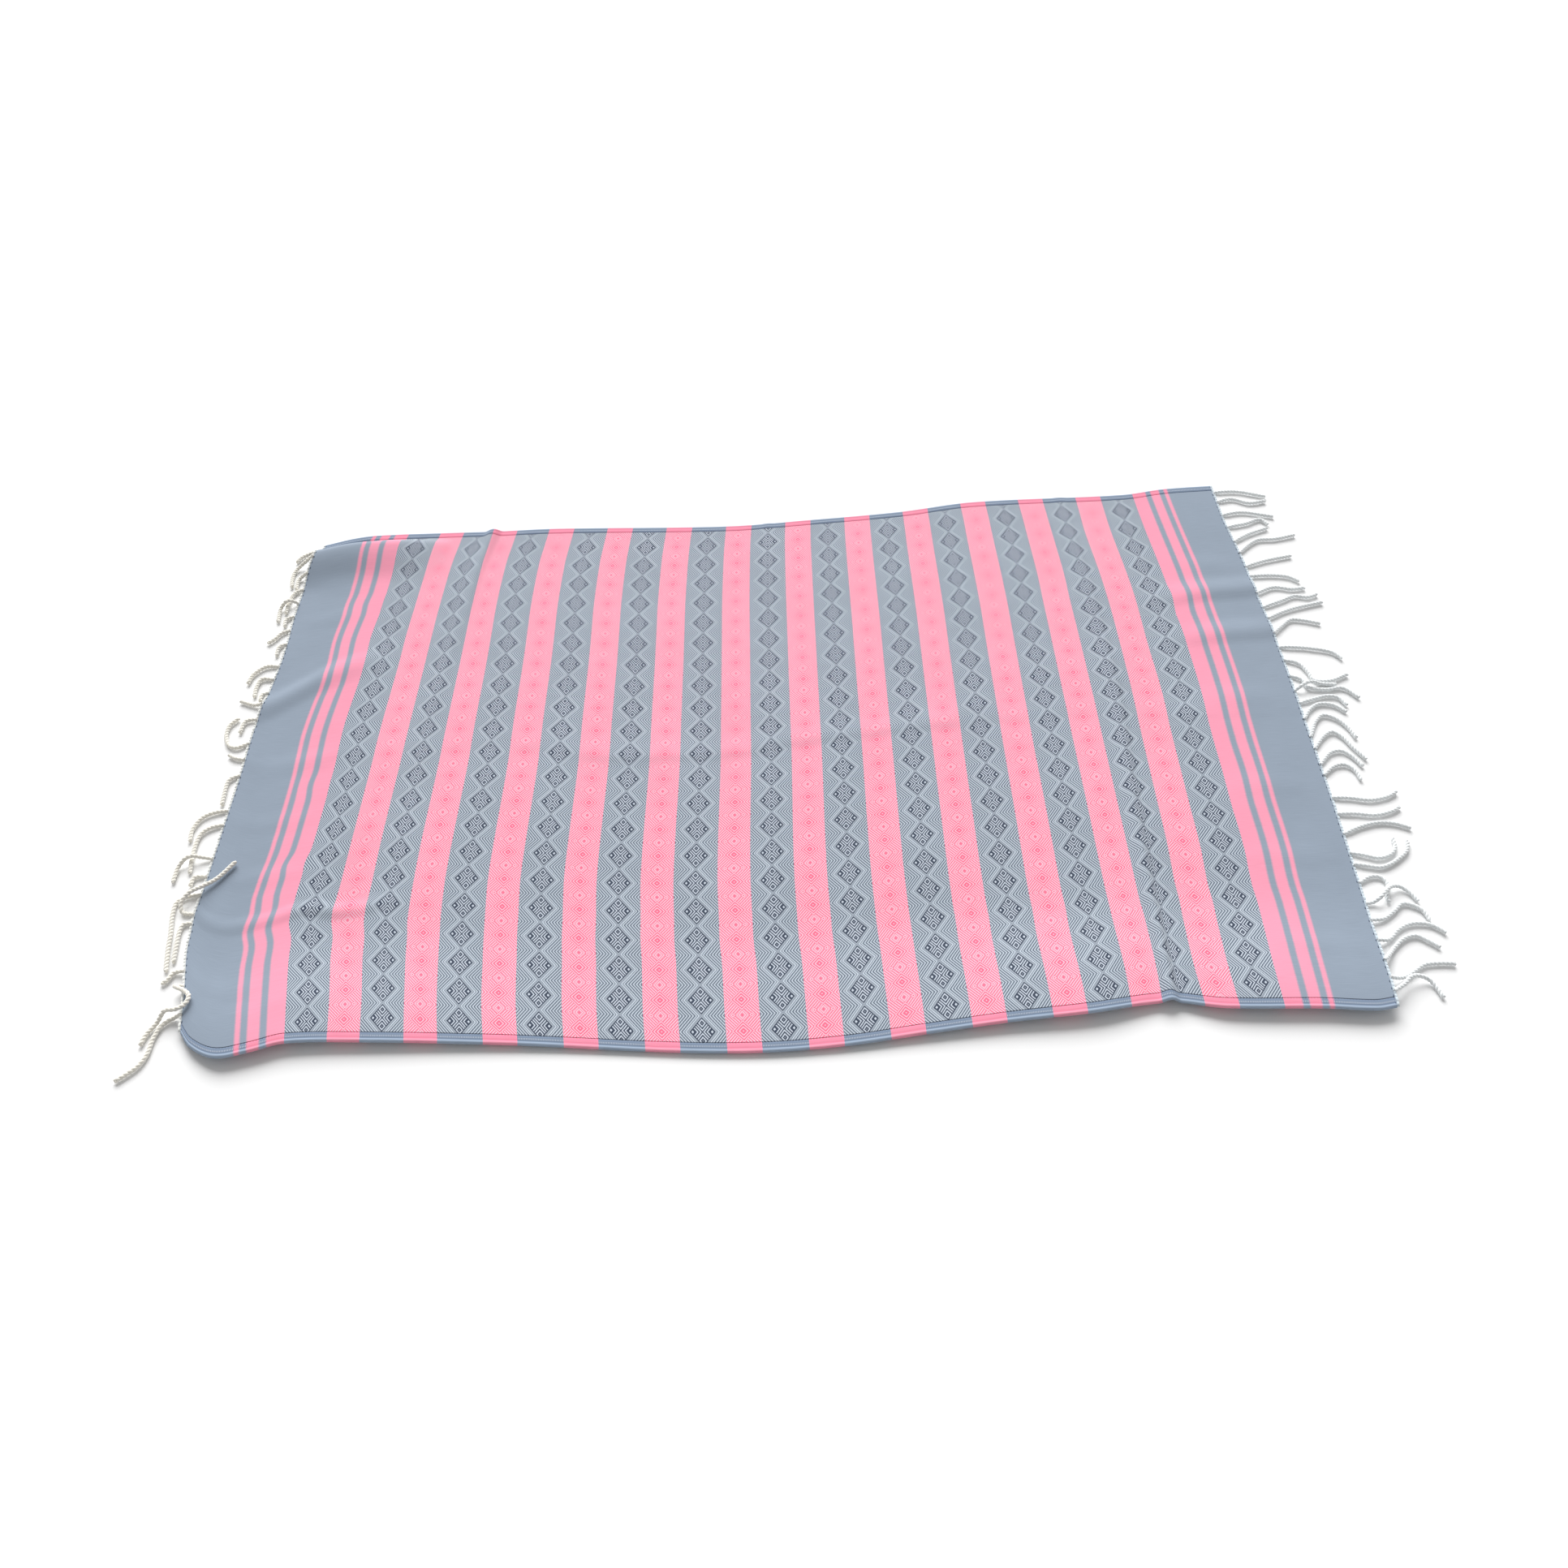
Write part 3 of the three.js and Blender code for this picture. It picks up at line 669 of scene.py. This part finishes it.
def hem_piece(name, near_side):
    """One hem, its upper side a little thicker and thinner along its length."""
    wander_at = np.arange(0, cloth_length + 2 * wander_spacing, wander_spacing)
    wander = uneven.uniform(-wander_amount, wander_amount, len(wander_at))
    thicker = 1 + smooth(wander_at, list(wander), hem_steps)
    rows = []
    places = []
    for inward, up in hem_lower + hem_upper[::-1]:
        t_of = inward if near_side else cloth_width - inward
        lift = up * (thicker if up > 1 else np.ones(len(hem_steps)))
        rows.append(above(hem_steps, np.full(len(hem_steps), t_of), lift))
        places.append(np.stack([hem_steps, np.full(len(hem_steps), inward)], axis=-1))
    rings = np.stack(rows, axis=1)
    cut = np.stack(places, axis=1)
    if not near_side:
        rings = turned_over(rings, len(hem_lower))
        cut = turned_over(cut, len(hem_lower))
    return closed_body(name, rings, cut)


turned, tree, shader = surface_material("turned cotton hem", 0.9)
shader.inputs["Sheen Weight"].default_value = 0.12
s, inward = cut_places(tree)
pink, _, _ = bands(tree, s)
# The rolled outer fold gets a painted highlight: a lighter colour for the light falling on it
roll = step_tones(tree, inward, hem_table_end, hem_roll_highlight, soft=0.8)
ladder_rows = step_tones(tree, inward, hem_table_end, ladder_row, soft=0.5)
ladder_wave = maths(tree, "SINE", maths(tree, "MULTIPLY", s, 2 * math.pi / ladder_pitch))
ladder = maths(tree, "MULTIPLY", ladder_rows, maths(tree, "GREATER_THAN", ladder_wave, ladder_gap))
hem_grey = blend_colours(tree, roll, dye(*flat_grey), dye(*roll_grey_highlight))
hem_grey = blend_colours(tree, maths(tree, "MULTIPLY", ladder, ladder_in_grey), hem_grey, dye(*ladder_grey))
hem_pink = blend_colours(tree, roll, dye(*flat_pink), dye(*roll_pink_highlight))
hem_pink = blend_colours(tree, maths(tree, "MULTIPLY", ladder, ladder_in_pink), hem_pink, dye(*ladder_pink))
streaks = noise(tree, stretched(tree, s, inward, by_s=0.05, by_t=1.4), detail=3)
strength = maths(tree, "MULTIPLY_ADD", streaks, hem_streak_strength, hem_least_strength)
dyed(tree, shader, blend_colours(tree, pink, hem_grey, hem_pink), strength)
height = maths(tree, "ADD", streaks, maths(tree, "MULTIPLY", ladder, ladder_height))
relief(tree, shader, height, strength=0.5, depth=0.0003)

hems = {"near": hem_piece("hem_near", True), "far": hem_piece("hem_far", False)}
for side, hem in hems.items():
    hem.data.materials.append(turned)
    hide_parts("hem_" + side)
    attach(hem, "root")


# Stitches along the hems
# Lockstitch in thread of the cloth's own colours: short raised stitches in a row along the inner edge
# of each hem, every one laid by the machine at the same pitch.
def line_through(name, points_list, places_list):
    """An object of open lines through points in millimetres, each with its place on the cut cloth."""
    mesh = bpy.data.meshes.new(name)
    points = np.concatenate(points_list)
    starts = np.cumsum([0] + [len(points) for points in points_list])
    edges = [(k, k + 1) for start, end in zip(starts, starts[1:]) for k in range(start, end - 1)]
    mesh.from_pydata((points * metres).tolist(), edges, [])
    place = mesh.attributes.new("place", "FLOAT", "POINT")
    place.data.foreach_set("value", np.concatenate(places_list).astype(np.float32))
    lines = bpy.data.objects.new(name, mesh)
    bpy.context.scene.collection.objects.link(lines)
    return lines


def nodes_tree(name, inputs):
    """A Geometry Nodes tree with those named inputs, and the curves of the lines that it is given."""
    tree = bpy.data.node_groups.new(name, "GeometryNodeTree")
    tree.interface.new_socket("Geometry", in_out="INPUT", socket_type="NodeSocketGeometry")
    for label, kind in inputs:
        tree.interface.new_socket(label, in_out="INPUT", socket_type=kind)
    tree.interface.new_socket("Geometry", in_out="OUTPUT", socket_type="NodeSocketGeometry")
    given = tree.nodes.new("NodeGroupInput")
    curves = tree.nodes.new("GeometryNodeMeshToCurve")
    tree.links.new(given.outputs["Geometry"], curves.inputs["Mesh"])
    return tree, given, curves.outputs["Curve"], tree.nodes.new("NodeGroupOutput")


def made_by(lines, tree, values):
    """Runs the tree on the lines and returns the result as a plain mesh object of the same name."""
    modifier = lines.modifiers.new("made", "NODES")
    modifier.node_group = tree
    for item in tree.interface.items_tree:
        if item.in_out == "INPUT" and item.name in values:
            modifier[item.identifier] = values[item.name]
    graph = bpy.context.evaluated_depsgraph_get()
    mesh = bpy.data.meshes.new_from_object(lines.evaluated_get(graph), depsgraph=graph)
    lines.modifiers.remove(modifier)
    bare = lines.data
    lines.data = mesh
    bpy.data.meshes.remove(bare)
    mesh.name = lines.name
    return lines


stitch_tree, given, curves, result = nodes_tree("row of stitches", [
    ("Pitch", "NodeSocketFloat"), ("Length", "NodeSocketFloat"), ("Thickness", "NodeSocketFloat"),
    ("Unevenness", "NodeSocketFloat"), ("Thread", "NodeSocketMaterial"),
])
nodes = stitch_tree.nodes
links = stitch_tree.links
spaced = nodes.new("GeometryNodeResampleCurve")
spaced.mode = "LENGTH"
links.new(curves, spaced.inputs["Curve"])
links.new(given.outputs["Pitch"], spaced.inputs["Length"])
stitch = nodes.new("GeometryNodeMeshUVSphere")
stitch.inputs["Segments"].default_value = 8
stitch.inputs["Rings"].default_value = 5
stitch.inputs["Radius"].default_value = 0.5
size = nodes.new("ShaderNodeCombineXYZ")
links.new(given.outputs["Thickness"], size.inputs[0])
links.new(given.outputs["Thickness"], size.inputs[1])
links.new(given.outputs["Length"], size.inputs[2])
shaped = nodes.new("GeometryNodeTransform")
links.new(stitch.outputs["Mesh"], shaped.inputs["Geometry"])
links.new(size.outputs[0], shaped.inputs["Scale"])
tangent = nodes.new("GeometryNodeInputTangent")
turn = nodes.new("FunctionNodeAlignRotationToVector")
turn.axis = "Z"
links.new(tangent.outputs[0], turn.inputs["Vector"])

# Each one is a little longer or shorter than the next
chance = nodes.new("FunctionNodeRandomValue")
chance.inputs["Seed"].default_value = 5
change = maths(stitch_tree, "MULTIPLY", maths(stitch_tree, "SUBTRACT", chance.outputs[1], 0.5),
               given.outputs["Unevenness"])
place = nodes.new("GeometryNodeInstanceOnPoints")
links.new(spaced.outputs["Curve"], place.inputs["Points"])
links.new(shaped.outputs["Geometry"], place.inputs["Instance"])
links.new(turn.outputs[0], place.inputs["Rotation"])
links.new(maths(stitch_tree, "ADD", change, 1), place.inputs["Scale"])
smoothed = nodes.new("GeometryNodeSetShadeSmooth")
real = nodes.new("GeometryNodeRealizeInstances")
links.new(place.outputs["Instances"], real.inputs["Geometry"])
links.new(real.outputs["Geometry"], smoothed.inputs["Geometry"])
threaded = nodes.new("GeometryNodeSetMaterial")
links.new(smoothed.outputs["Geometry"], threaded.inputs["Geometry"])
links.new(given.outputs["Thread"], threaded.inputs["Material"])
links.new(threaded.outputs["Geometry"], result.inputs["Geometry"])

# The thread is the band's own colour made darker: painted shade for the line where it sinks into the cloth
thread, tree, shader = surface_material("hem thread with painted shade", 0.85)
placed = tree.nodes.new("ShaderNodeAttribute")
placed.attribute_name = "place"
pink, _, _ = bands(tree, placed.outputs["Fac"])
shaded_thread_colour = blend_colours(tree, pink, dye(*shaded_thread_grey), dye(*shaded_thread_pink))
tree.links.new(shaded_thread_colour, shader.inputs["Base Color"])

stitch_inward = 12.1
stitch_up = 1.75
stitch_spacing = 3.0
for side in ("near", "far"):
    t_of = stitch_inward if side == "near" else cloth_width - stitch_inward
    row_s = np.arange(2, cloth_length - 1, stitch_spacing)
    points = above(row_s, np.full(len(row_s), t_of), stitch_up)
    row = made_by(line_through("stitches_" + side, [points], [row_s]), stitch_tree, {
        "Pitch": 0.0036, "Length": 0.0026, "Thickness": 0.0006, "Unevenness": 0.25, "Thread": thread,
    })
    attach(row, "root")


# The fringes
# At each end the warp yarns stand out beyond an overcast edge, gathered in bunches. Each bunch is
# twisted into a strand of two plies in undyed cotton and ends in a plain cut.
header_width = 3
root_depth = 2
strand_lie = 3.8
root_lie = 2.9
climb_from_root = 0.1
way_spacing = 1.3
fewest_steps = 4

# One row for each strand: (t of its root, its way from there), and for each point of the way how far
# out from the cloth, how far along the end, and how high it is lifted over what it crosses
right_strands = [
    (980, [(39, 1), (85, -13)]),
    (956, [(26, 6), (53, -5), (81, 0)]),
    (922, [(34, 6), (66, -1), (84, -6)]),
    (892, [(34, 8), (59, 18), (69, 5)]),
    (857, [(28, 17), (48, 26), (62, 32)]),
    (830, [(22, 20), (38, 30), (65, 32), (100, 41)]),
    (797, [(36, 13), (79, 24)]),
    (774, [(37, 1), (61, -3), (76, -14)]),
    (735, [(31, 13), (59, 8), (79, 11)]),
    (704, [(34, 14), (56, 24), (76, 21), (92, 27)]),
    (679, [(37, 18), (94, 35)]),
    (647, [(18, 16), (34, 29), (50, 28), (77, 20)]),
    (618, [(44, -4), (78, -14), (89, -27)]),
    (591, [(21, -9), (30, -28), (34, -43), (57, -46), (87, -33)]),
    (559, [(17, -10), (21, -25), (47, -31), (72, -28), (91, -48)]),
    (529, [(9, 3, 5), (19, 8, 8), (29, 11, 6), (40, 12, 1), (64, 10)]),
    (504, [(23, 7), (45, 13), (60, 10), (69, -6)]),
    (474, [(13, 17), (29, 28), (49, 26), (65, 12)]),
    (440, [(15, 28), (29, 41), (45, 35), (58, 18), (65, -4)]),
    (418, [(20, 23), (34, 31), (45, 22), (55, 1), (68, -22)]),
    (389, [(21, 21), (37, 24), (49, 14), (59, -5)]),
    (370, [(19, 15), (34, 18), (45, 9), (50, -10)]),
    (330, [(26, -2), (53, -6), (79, 0), (92, 8)]),
    (302, [(27, -1), (52, -4), (78, 3), (89, 10)]),
    (268, [(28, 12), (53, 18), (75, 16), (94, 8)]),
    (237, [(19, -5), (37, -10), (55, -4), (64, 8), (65, 22)]),
    (219, [(18, -4), (35, -7), (50, -2), (65, 8), (78, 20), (84, 36)]),
    (189, [(18, 9), (31, 8), (37, -3), (31, -19), (30, -32)]),
    (156, [(12, 2, 1), (20, 5, 7), (27, 12, 9), (37, 21, 7), (52, 25, 2), (63, 17), (70, 3)]),
    (130, [(20, 3), (36, 14), (51, 26), (65, 22), (74, 14), (78, 0)]),
    (98, [(19, 4), (33, 17), (49, 26), (65, 28), (81, 24), (94, 13)]),
    (67, [(13, 12, 3), (22, 22), (40, 37), (56, 41), (69, 33), (81, 23)]),
    (41, [(16, 3, 4), (27, 7, 1), (40, 15), (55, 24), (75, 26), (94, 25)]),
    (21, [(18, 11, 10.5), (29, 21, 10), (42, 24, 7), (55, 21, 2), (61, 11), (65, -3)]),
]
left_strands = [
    (985, [(29, -18), (36, -30)]),
    (950, [(27, -17), (30, -38), (27, -58)]),
    (915, [(14, -9), (14, -32)]),
    (880, [(12, -9), (17, -28), (17, -55)]),
    (845, [(8, -1, 5), (16, -4, 8), (25, -14, 1), (24, -42)]),
    (812, [(11, -7), (11, -23)]),
    (778, [(12, -7), (20, -20), (29, -29)]),
    (745, [(10, -7), (11, -26)]),
    (692, [(19, -1), (35, -18), (39, -36)]),
    (662, [(18, 0), (23, -16), (22, -36)]),
    (632, [(9, -6), (9, -18)]),
    (602, [(15, 2), (35, 10)]),
    (572, [(16, -3), (20, -26)]),
    (522, [(15, -9), (27, -6), (36, 12), (36, 34), (26, 48)]),
    (487, [(15, 3), (24, 9)]),
    (455, [(13, -9), (14, -36), (13, -54)]),
    (385, [(19, -4), (33, -13), (41, -32), (40, -53)]),
    (358, [(17, -6), (27, -16), (30, -45), (26, -82)]),
    (294, [(17, 0, 4), (25, -1, 7.5), (33, -4, 7), (42, -14, 1), (44, -38)]),
    (262, [(16, -2), (19, -16)]),
    (229, [(16, -3), (28, -12), (29, -30), (24, -60), (21, -84), (18, -102), (15, -118)]),
    (195, [(15, 2), (19, 14, 5), (11, 28, 9), (-2, 40, 6), (-17, 54, 3.5), (-35, 81, 3.5)]),
    (180, [(11, -3), (13, -13), (11, -40), (9, -60)]),
    (98, [(14, -1), (20, -12), (26, -17)]),
    (72, [(10, -2, 8), (4, -6, 9), (-4, -10, 9.5), (-12, -19, 11), (-10, -31, 11.5),
          (-1, -38, 12.5), (12, -39, 11), (21, -50, 2), (31, -66), (34, -80)]),
    (26, [(13, -2), (24, -13), (29, -29), (31, -52), (37, -66), (48, -77), (59, -86)]),
]


def strand_way(root_t, route, outward):
    """Closely spaced points along a strand's middle line, through its route without corners."""
    s_of = 0.0 if outward < 0 else float(cloth_length)
    edge = underside(np.array([s_of]), np.array([float(root_t)]))[0]
    stops = [edge + (outward * (seam_gap + header_width - root_depth), 0, root_lie)]
    for out, drift, *lift in route:
        stops.append(np.array([edge[0] + outward * out, edge[1] + drift, strand_lie + sum(lift)]))
    stops = [2 * stops[0] - stops[1], *stops, 2 * stops[-1] - stops[-2]]
    way = []
    for before, start, end, after in zip(stops, stops[1:], stops[2:], stops[3:]):
        first, middle, last = [
            max(np.linalg.norm(b - a), 1e-6) ** 0.5
            for a, b in ((before, start), (start, end), (end, after))
        ]
        ahead = (end - start) / middle
        leave = ((start - before) / first - (end - before) / (first + middle) + ahead) * middle
        arrive = (ahead - (after - start) / (middle + last) + (after - end) / last) * middle
        steps = max(fewest_steps, int(np.linalg.norm(end - start) / way_spacing))
        for u in np.arange(steps) / steps:
            way.append(start + leave * u + (3 * (end - start) - 2 * leave - arrive) * u ** 2
                       + (2 * (start - end) + leave + arrive) * u ** 3)
    way.append(stops[-2])
    way = np.array(way)
    least = np.minimum(root_lie + climb_from_root * np.arange(len(way)), strand_lie)
    way[:, 2] = np.maximum(way[:, 2], least)
    return way


ply_tree, given, curves, result = nodes_tree("strand of two plies", [
    ("Ply Radius", "NodeSocketFloat"), ("Ply Offset", "NodeSocketFloat"), ("Turn", "NodeSocketFloat"),
    ("Yarn", "NodeSocketMaterial"),
])
nodes = ply_tree.nodes
links = ply_tree.links


def counted(operation, *values):
    return maths(ply_tree, operation, *values)


def eased(value, from_min, from_max, to_min, to_max):
    """A value that eases from to_min to to_max over a stretch of another."""
    node = nodes.new("ShaderNodeMapRange")
    node.interpolation_type = "SMOOTHSTEP"
    links.new(value, node.inputs["Value"])
    node.inputs["From Min"].default_value = from_min
    node.inputs["From Max"].default_value = from_max
    node.inputs["To Min"].default_value = to_min
    node.inputs["To Max"].default_value = to_max
    return node.outputs[0]


def scaled(vector, share):
    """A vector made longer or shorter."""
    node = nodes.new("ShaderNodeVectorMath")
    node.operation = "SCALE"
    links.new(vector, node.inputs[0])
    links.new(share, node.inputs["Scale"])
    return node.outputs[0]


upright = nodes.new("GeometryNodeSetCurveNormal")
upright.mode = "Z_UP"
links.new(curves, upright.inputs["Curve"])
spline = nodes.new("GeometryNodeSplineParameter")
normal = nodes.new("GeometryNodeInputNormal")
tangent = nodes.new("GeometryNodeInputTangent")
aside = nodes.new("ShaderNodeVectorMath")
aside.operation = "CROSS_PRODUCT"
links.new(tangent.outputs[0], aside.inputs[0])
links.new(normal.outputs[0], aside.inputs[1])
each_strand = nodes.new("GeometryNodeFieldOnDomain")
each_strand.domain = "CURVE"
each_strand.data_type = "INT"
index = nodes.new("GeometryNodeInputIndex")
links.new(index.outputs[0], each_strand.inputs[0])
chance = nodes.new("FunctionNodeRandomValue")
links.new(each_strand.outputs[0], chance.inputs["ID"])
chance.inputs["Seed"].default_value = 3
phase = counted("MULTIPLY", chance.outputs[1], 2 * math.pi)
stoutness = counted("MULTIPLY_ADD", chance.outputs[1], 0.1, 0.94)

# Slender where it leaves the edge, a little thicker at the cut end
root_swell = eased(spline.outputs["Length"], from_min=0.001, from_max=0.010, to_min=0.55, to_max=1.0)
end_swell = eased(spline.outputs["Factor"], from_min=0.86, from_max=1.0, to_min=1.0, to_max=1.06)
swell = counted("MULTIPLY", counted("MULTIPLY", root_swell, end_swell), stoutness)
plies = nodes.new("GeometryNodeJoinGeometry")
profile = nodes.new("GeometryNodeCurvePrimitiveCircle")
profile.inputs["Resolution"].default_value = 8
links.new(given.outputs["Ply Radius"], profile.inputs["Radius"])
for ply in range(2):
    turned_by = counted("MULTIPLY", spline.outputs["Length"], 2 * math.pi)
    angle = counted("ADD", counted("DIVIDE", turned_by, given.outputs["Turn"]), ply * math.pi)
    angle = counted("ADD", angle, phase)
    reach = counted("MULTIPLY", given.outputs["Ply Offset"], swell)
    shift = nodes.new("ShaderNodeVectorMath")
    upwards = counted("MULTIPLY", counted("COSINE", angle), reach)
    sideways = counted("MULTIPLY", counted("SINE", angle), reach)
    links.new(scaled(normal.outputs[0], upwards), shift.inputs[0])
    links.new(scaled(aside.outputs[0], sideways), shift.inputs[1])
    moved = nodes.new("GeometryNodeSetPosition")
    links.new(upright.outputs["Curve"], moved.inputs["Geometry"])
    links.new(shift.outputs[0], moved.inputs["Offset"])
    thick = nodes.new("GeometryNodeSetCurveRadius")
    links.new(moved.outputs["Geometry"], thick.inputs["Curve"])
    links.new(swell, thick.inputs["Radius"])
    tube = nodes.new("GeometryNodeCurveToMesh")
    links.new(thick.outputs["Curve"], tube.inputs["Curve"])
    links.new(profile.outputs["Curve"], tube.inputs["Profile Curve"])
    tube.inputs["Fill Caps"].default_value = True
    links.new(tube.outputs["Mesh"], plies.inputs["Geometry"])
real = nodes.new("GeometryNodeRealizeInstances")
links.new(plies.outputs["Geometry"], real.inputs["Geometry"])
smoothed = nodes.new("GeometryNodeSetShadeSmooth")
links.new(real.outputs["Geometry"], smoothed.inputs["Geometry"])
spun = nodes.new("GeometryNodeSetMaterial")
links.new(smoothed.outputs["Geometry"], spun.inputs["Geometry"])
links.new(given.outputs["Yarn"], spun.inputs["Material"])
links.new(spun.outputs["Geometry"], result.inputs["Geometry"])


def yarn_material(name, light, painted_shade_colour):
    """Undyed twisted cotton: fine soft yarns, with painted shade, a slightly darker tone mixed in at random
    in fine patches.
    """
    material, tree, shader = surface_material(name, 0.95)
    shader.inputs["Sheen Weight"].default_value = 1
    shader.inputs["Sheen Roughness"].default_value = 0.7
    placed = tree.nodes.new("ShaderNodeTexCoord")
    fine = noise(tree, placed.outputs["Object"], scale=900)
    tree.links.new(blend_colours(tree, fine, dye(*painted_shade_colour), dye(*light)), shader.inputs["Base Color"])
    relief(tree, shader, fine, strength=0.3, depth=0.0002)
    return material


# Each yarn's second colour is a painted shade tone of its first
yarns = {
    "left": yarn_material("cream warp yarn left", (252, 248, 236), (248, 243, 229)),
    "right": yarn_material("cool warp yarn right", (246, 250, 251), (241, 246, 247)),
}
overcast = {
    "left": yarn_material("pale overcasting left", (250, 252, 246), (232, 234, 230)),
    "right": yarn_material("pale overcasting right", (216, 232, 242), (196, 214, 226)),
}
dark_thread, tree, shader = surface_material("dark overcasting thread", 0.85)
shader.inputs["Base Color"].default_value = dye(92, 104, 122)

# The overcast edge: its section, as (how far out, how high), and its two kinds of stitches. Dark ones
# lie on the cloth just inside its end, pale loops twice as often just outside it.
header_lower = [(0.3, 0.5), (0.6, 0.1), (1.6, 0), (2.7, 0), (3.2, 0.4), (3.3, 0.8)]
header_upper = [(0.3, 1.3), (0.6, 1.7), (1.6, 1.95), (2.7, 1.8), (3.2, 1.4), (3.3, 1.0)]
header_spacing = 4.0
header_t = np.concatenate([np.arange(0, cloth_width, header_spacing), [cloth_width]])
overcast_pitch = 10.8
first_stitch = 4
dark_inside = 1.0
loop_outside = 2.0
loop_lift = 1.7
dark_stitch = {
    "Pitch": overcast_pitch * metres, "Length": 0.0034, "Thickness": 0.0012, "Unevenness": 0.5,
    "Thread": dark_thread,
}
pale_loop = {
    "Pitch": overcast_pitch / 2 * metres, "Length": 0.0064, "Thickness": 0.0028, "Unevenness": 0.5,
}
strand_sizes = {"Ply Radius": 0.0021, "Ply Offset": 0.0010, "Turn": 0.0105}


def place_inside(inside, outward):
    """The place s that lies that far inside the cloth's left or right end."""
    return inside if outward < 0 else cloth_length - inside


for side, strands, outward in (("left", left_strands, -1), ("right", right_strands, 1)):
    ways = [strand_way(root_t, route, outward) for root_t, route in strands]
    lines = line_through("strands_" + side, ways, [np.zeros(len(way)) for way in ways])
    plies_piece = made_by(lines, ply_tree, {**strand_sizes, "Yarn": yarns[side]})

    edge_t = np.arange(first_stitch, cloth_width - 2, stitch_spacing)
    dark_points = above(np.full(len(edge_t), place_inside(dark_inside, outward)), edge_t, cloth_thickness)
    dark = made_by(line_through("dark_" + side, [dark_points], [edge_t]), stitch_tree, dark_stitch)
    loop_points = underside(np.full(len(edge_t), place_inside(-loop_outside, outward)), edge_t)
    lines = line_through("loops_" + side, [loop_points + (0, 0, loop_lift)], [edge_t])
    loops = made_by(lines, stitch_tree, {**pale_loop, "Thread": overcast[side]})

    rings = np.stack([
        underside(np.full(len(header_t), place_inside(-out, outward)), header_t) + (0, 0, up)
        for out, up in header_lower + header_upper[::-1]
    ], axis=1)
    places = np.zeros(rings.shape[:2] + (2,))
    places[..., 0] = header_t[:, None]
    if outward > 0:
        rings = turned_over(rings, len(header_lower))
    header = closed_body("header_" + side, rings, places)
    header.data.materials.append(overcast[side])

    parts = [header, plies_piece, dark, loops]
    with bpy.context.temp_override(
        active_object=header, selected_editable_objects=parts, selected_objects=parts
    ):
        bpy.ops.object.join()
    fringe = header
    fringe.name = "fringe_" + side + "_twisted"
    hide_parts("fringe_" + side)
    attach(fringe, "root")
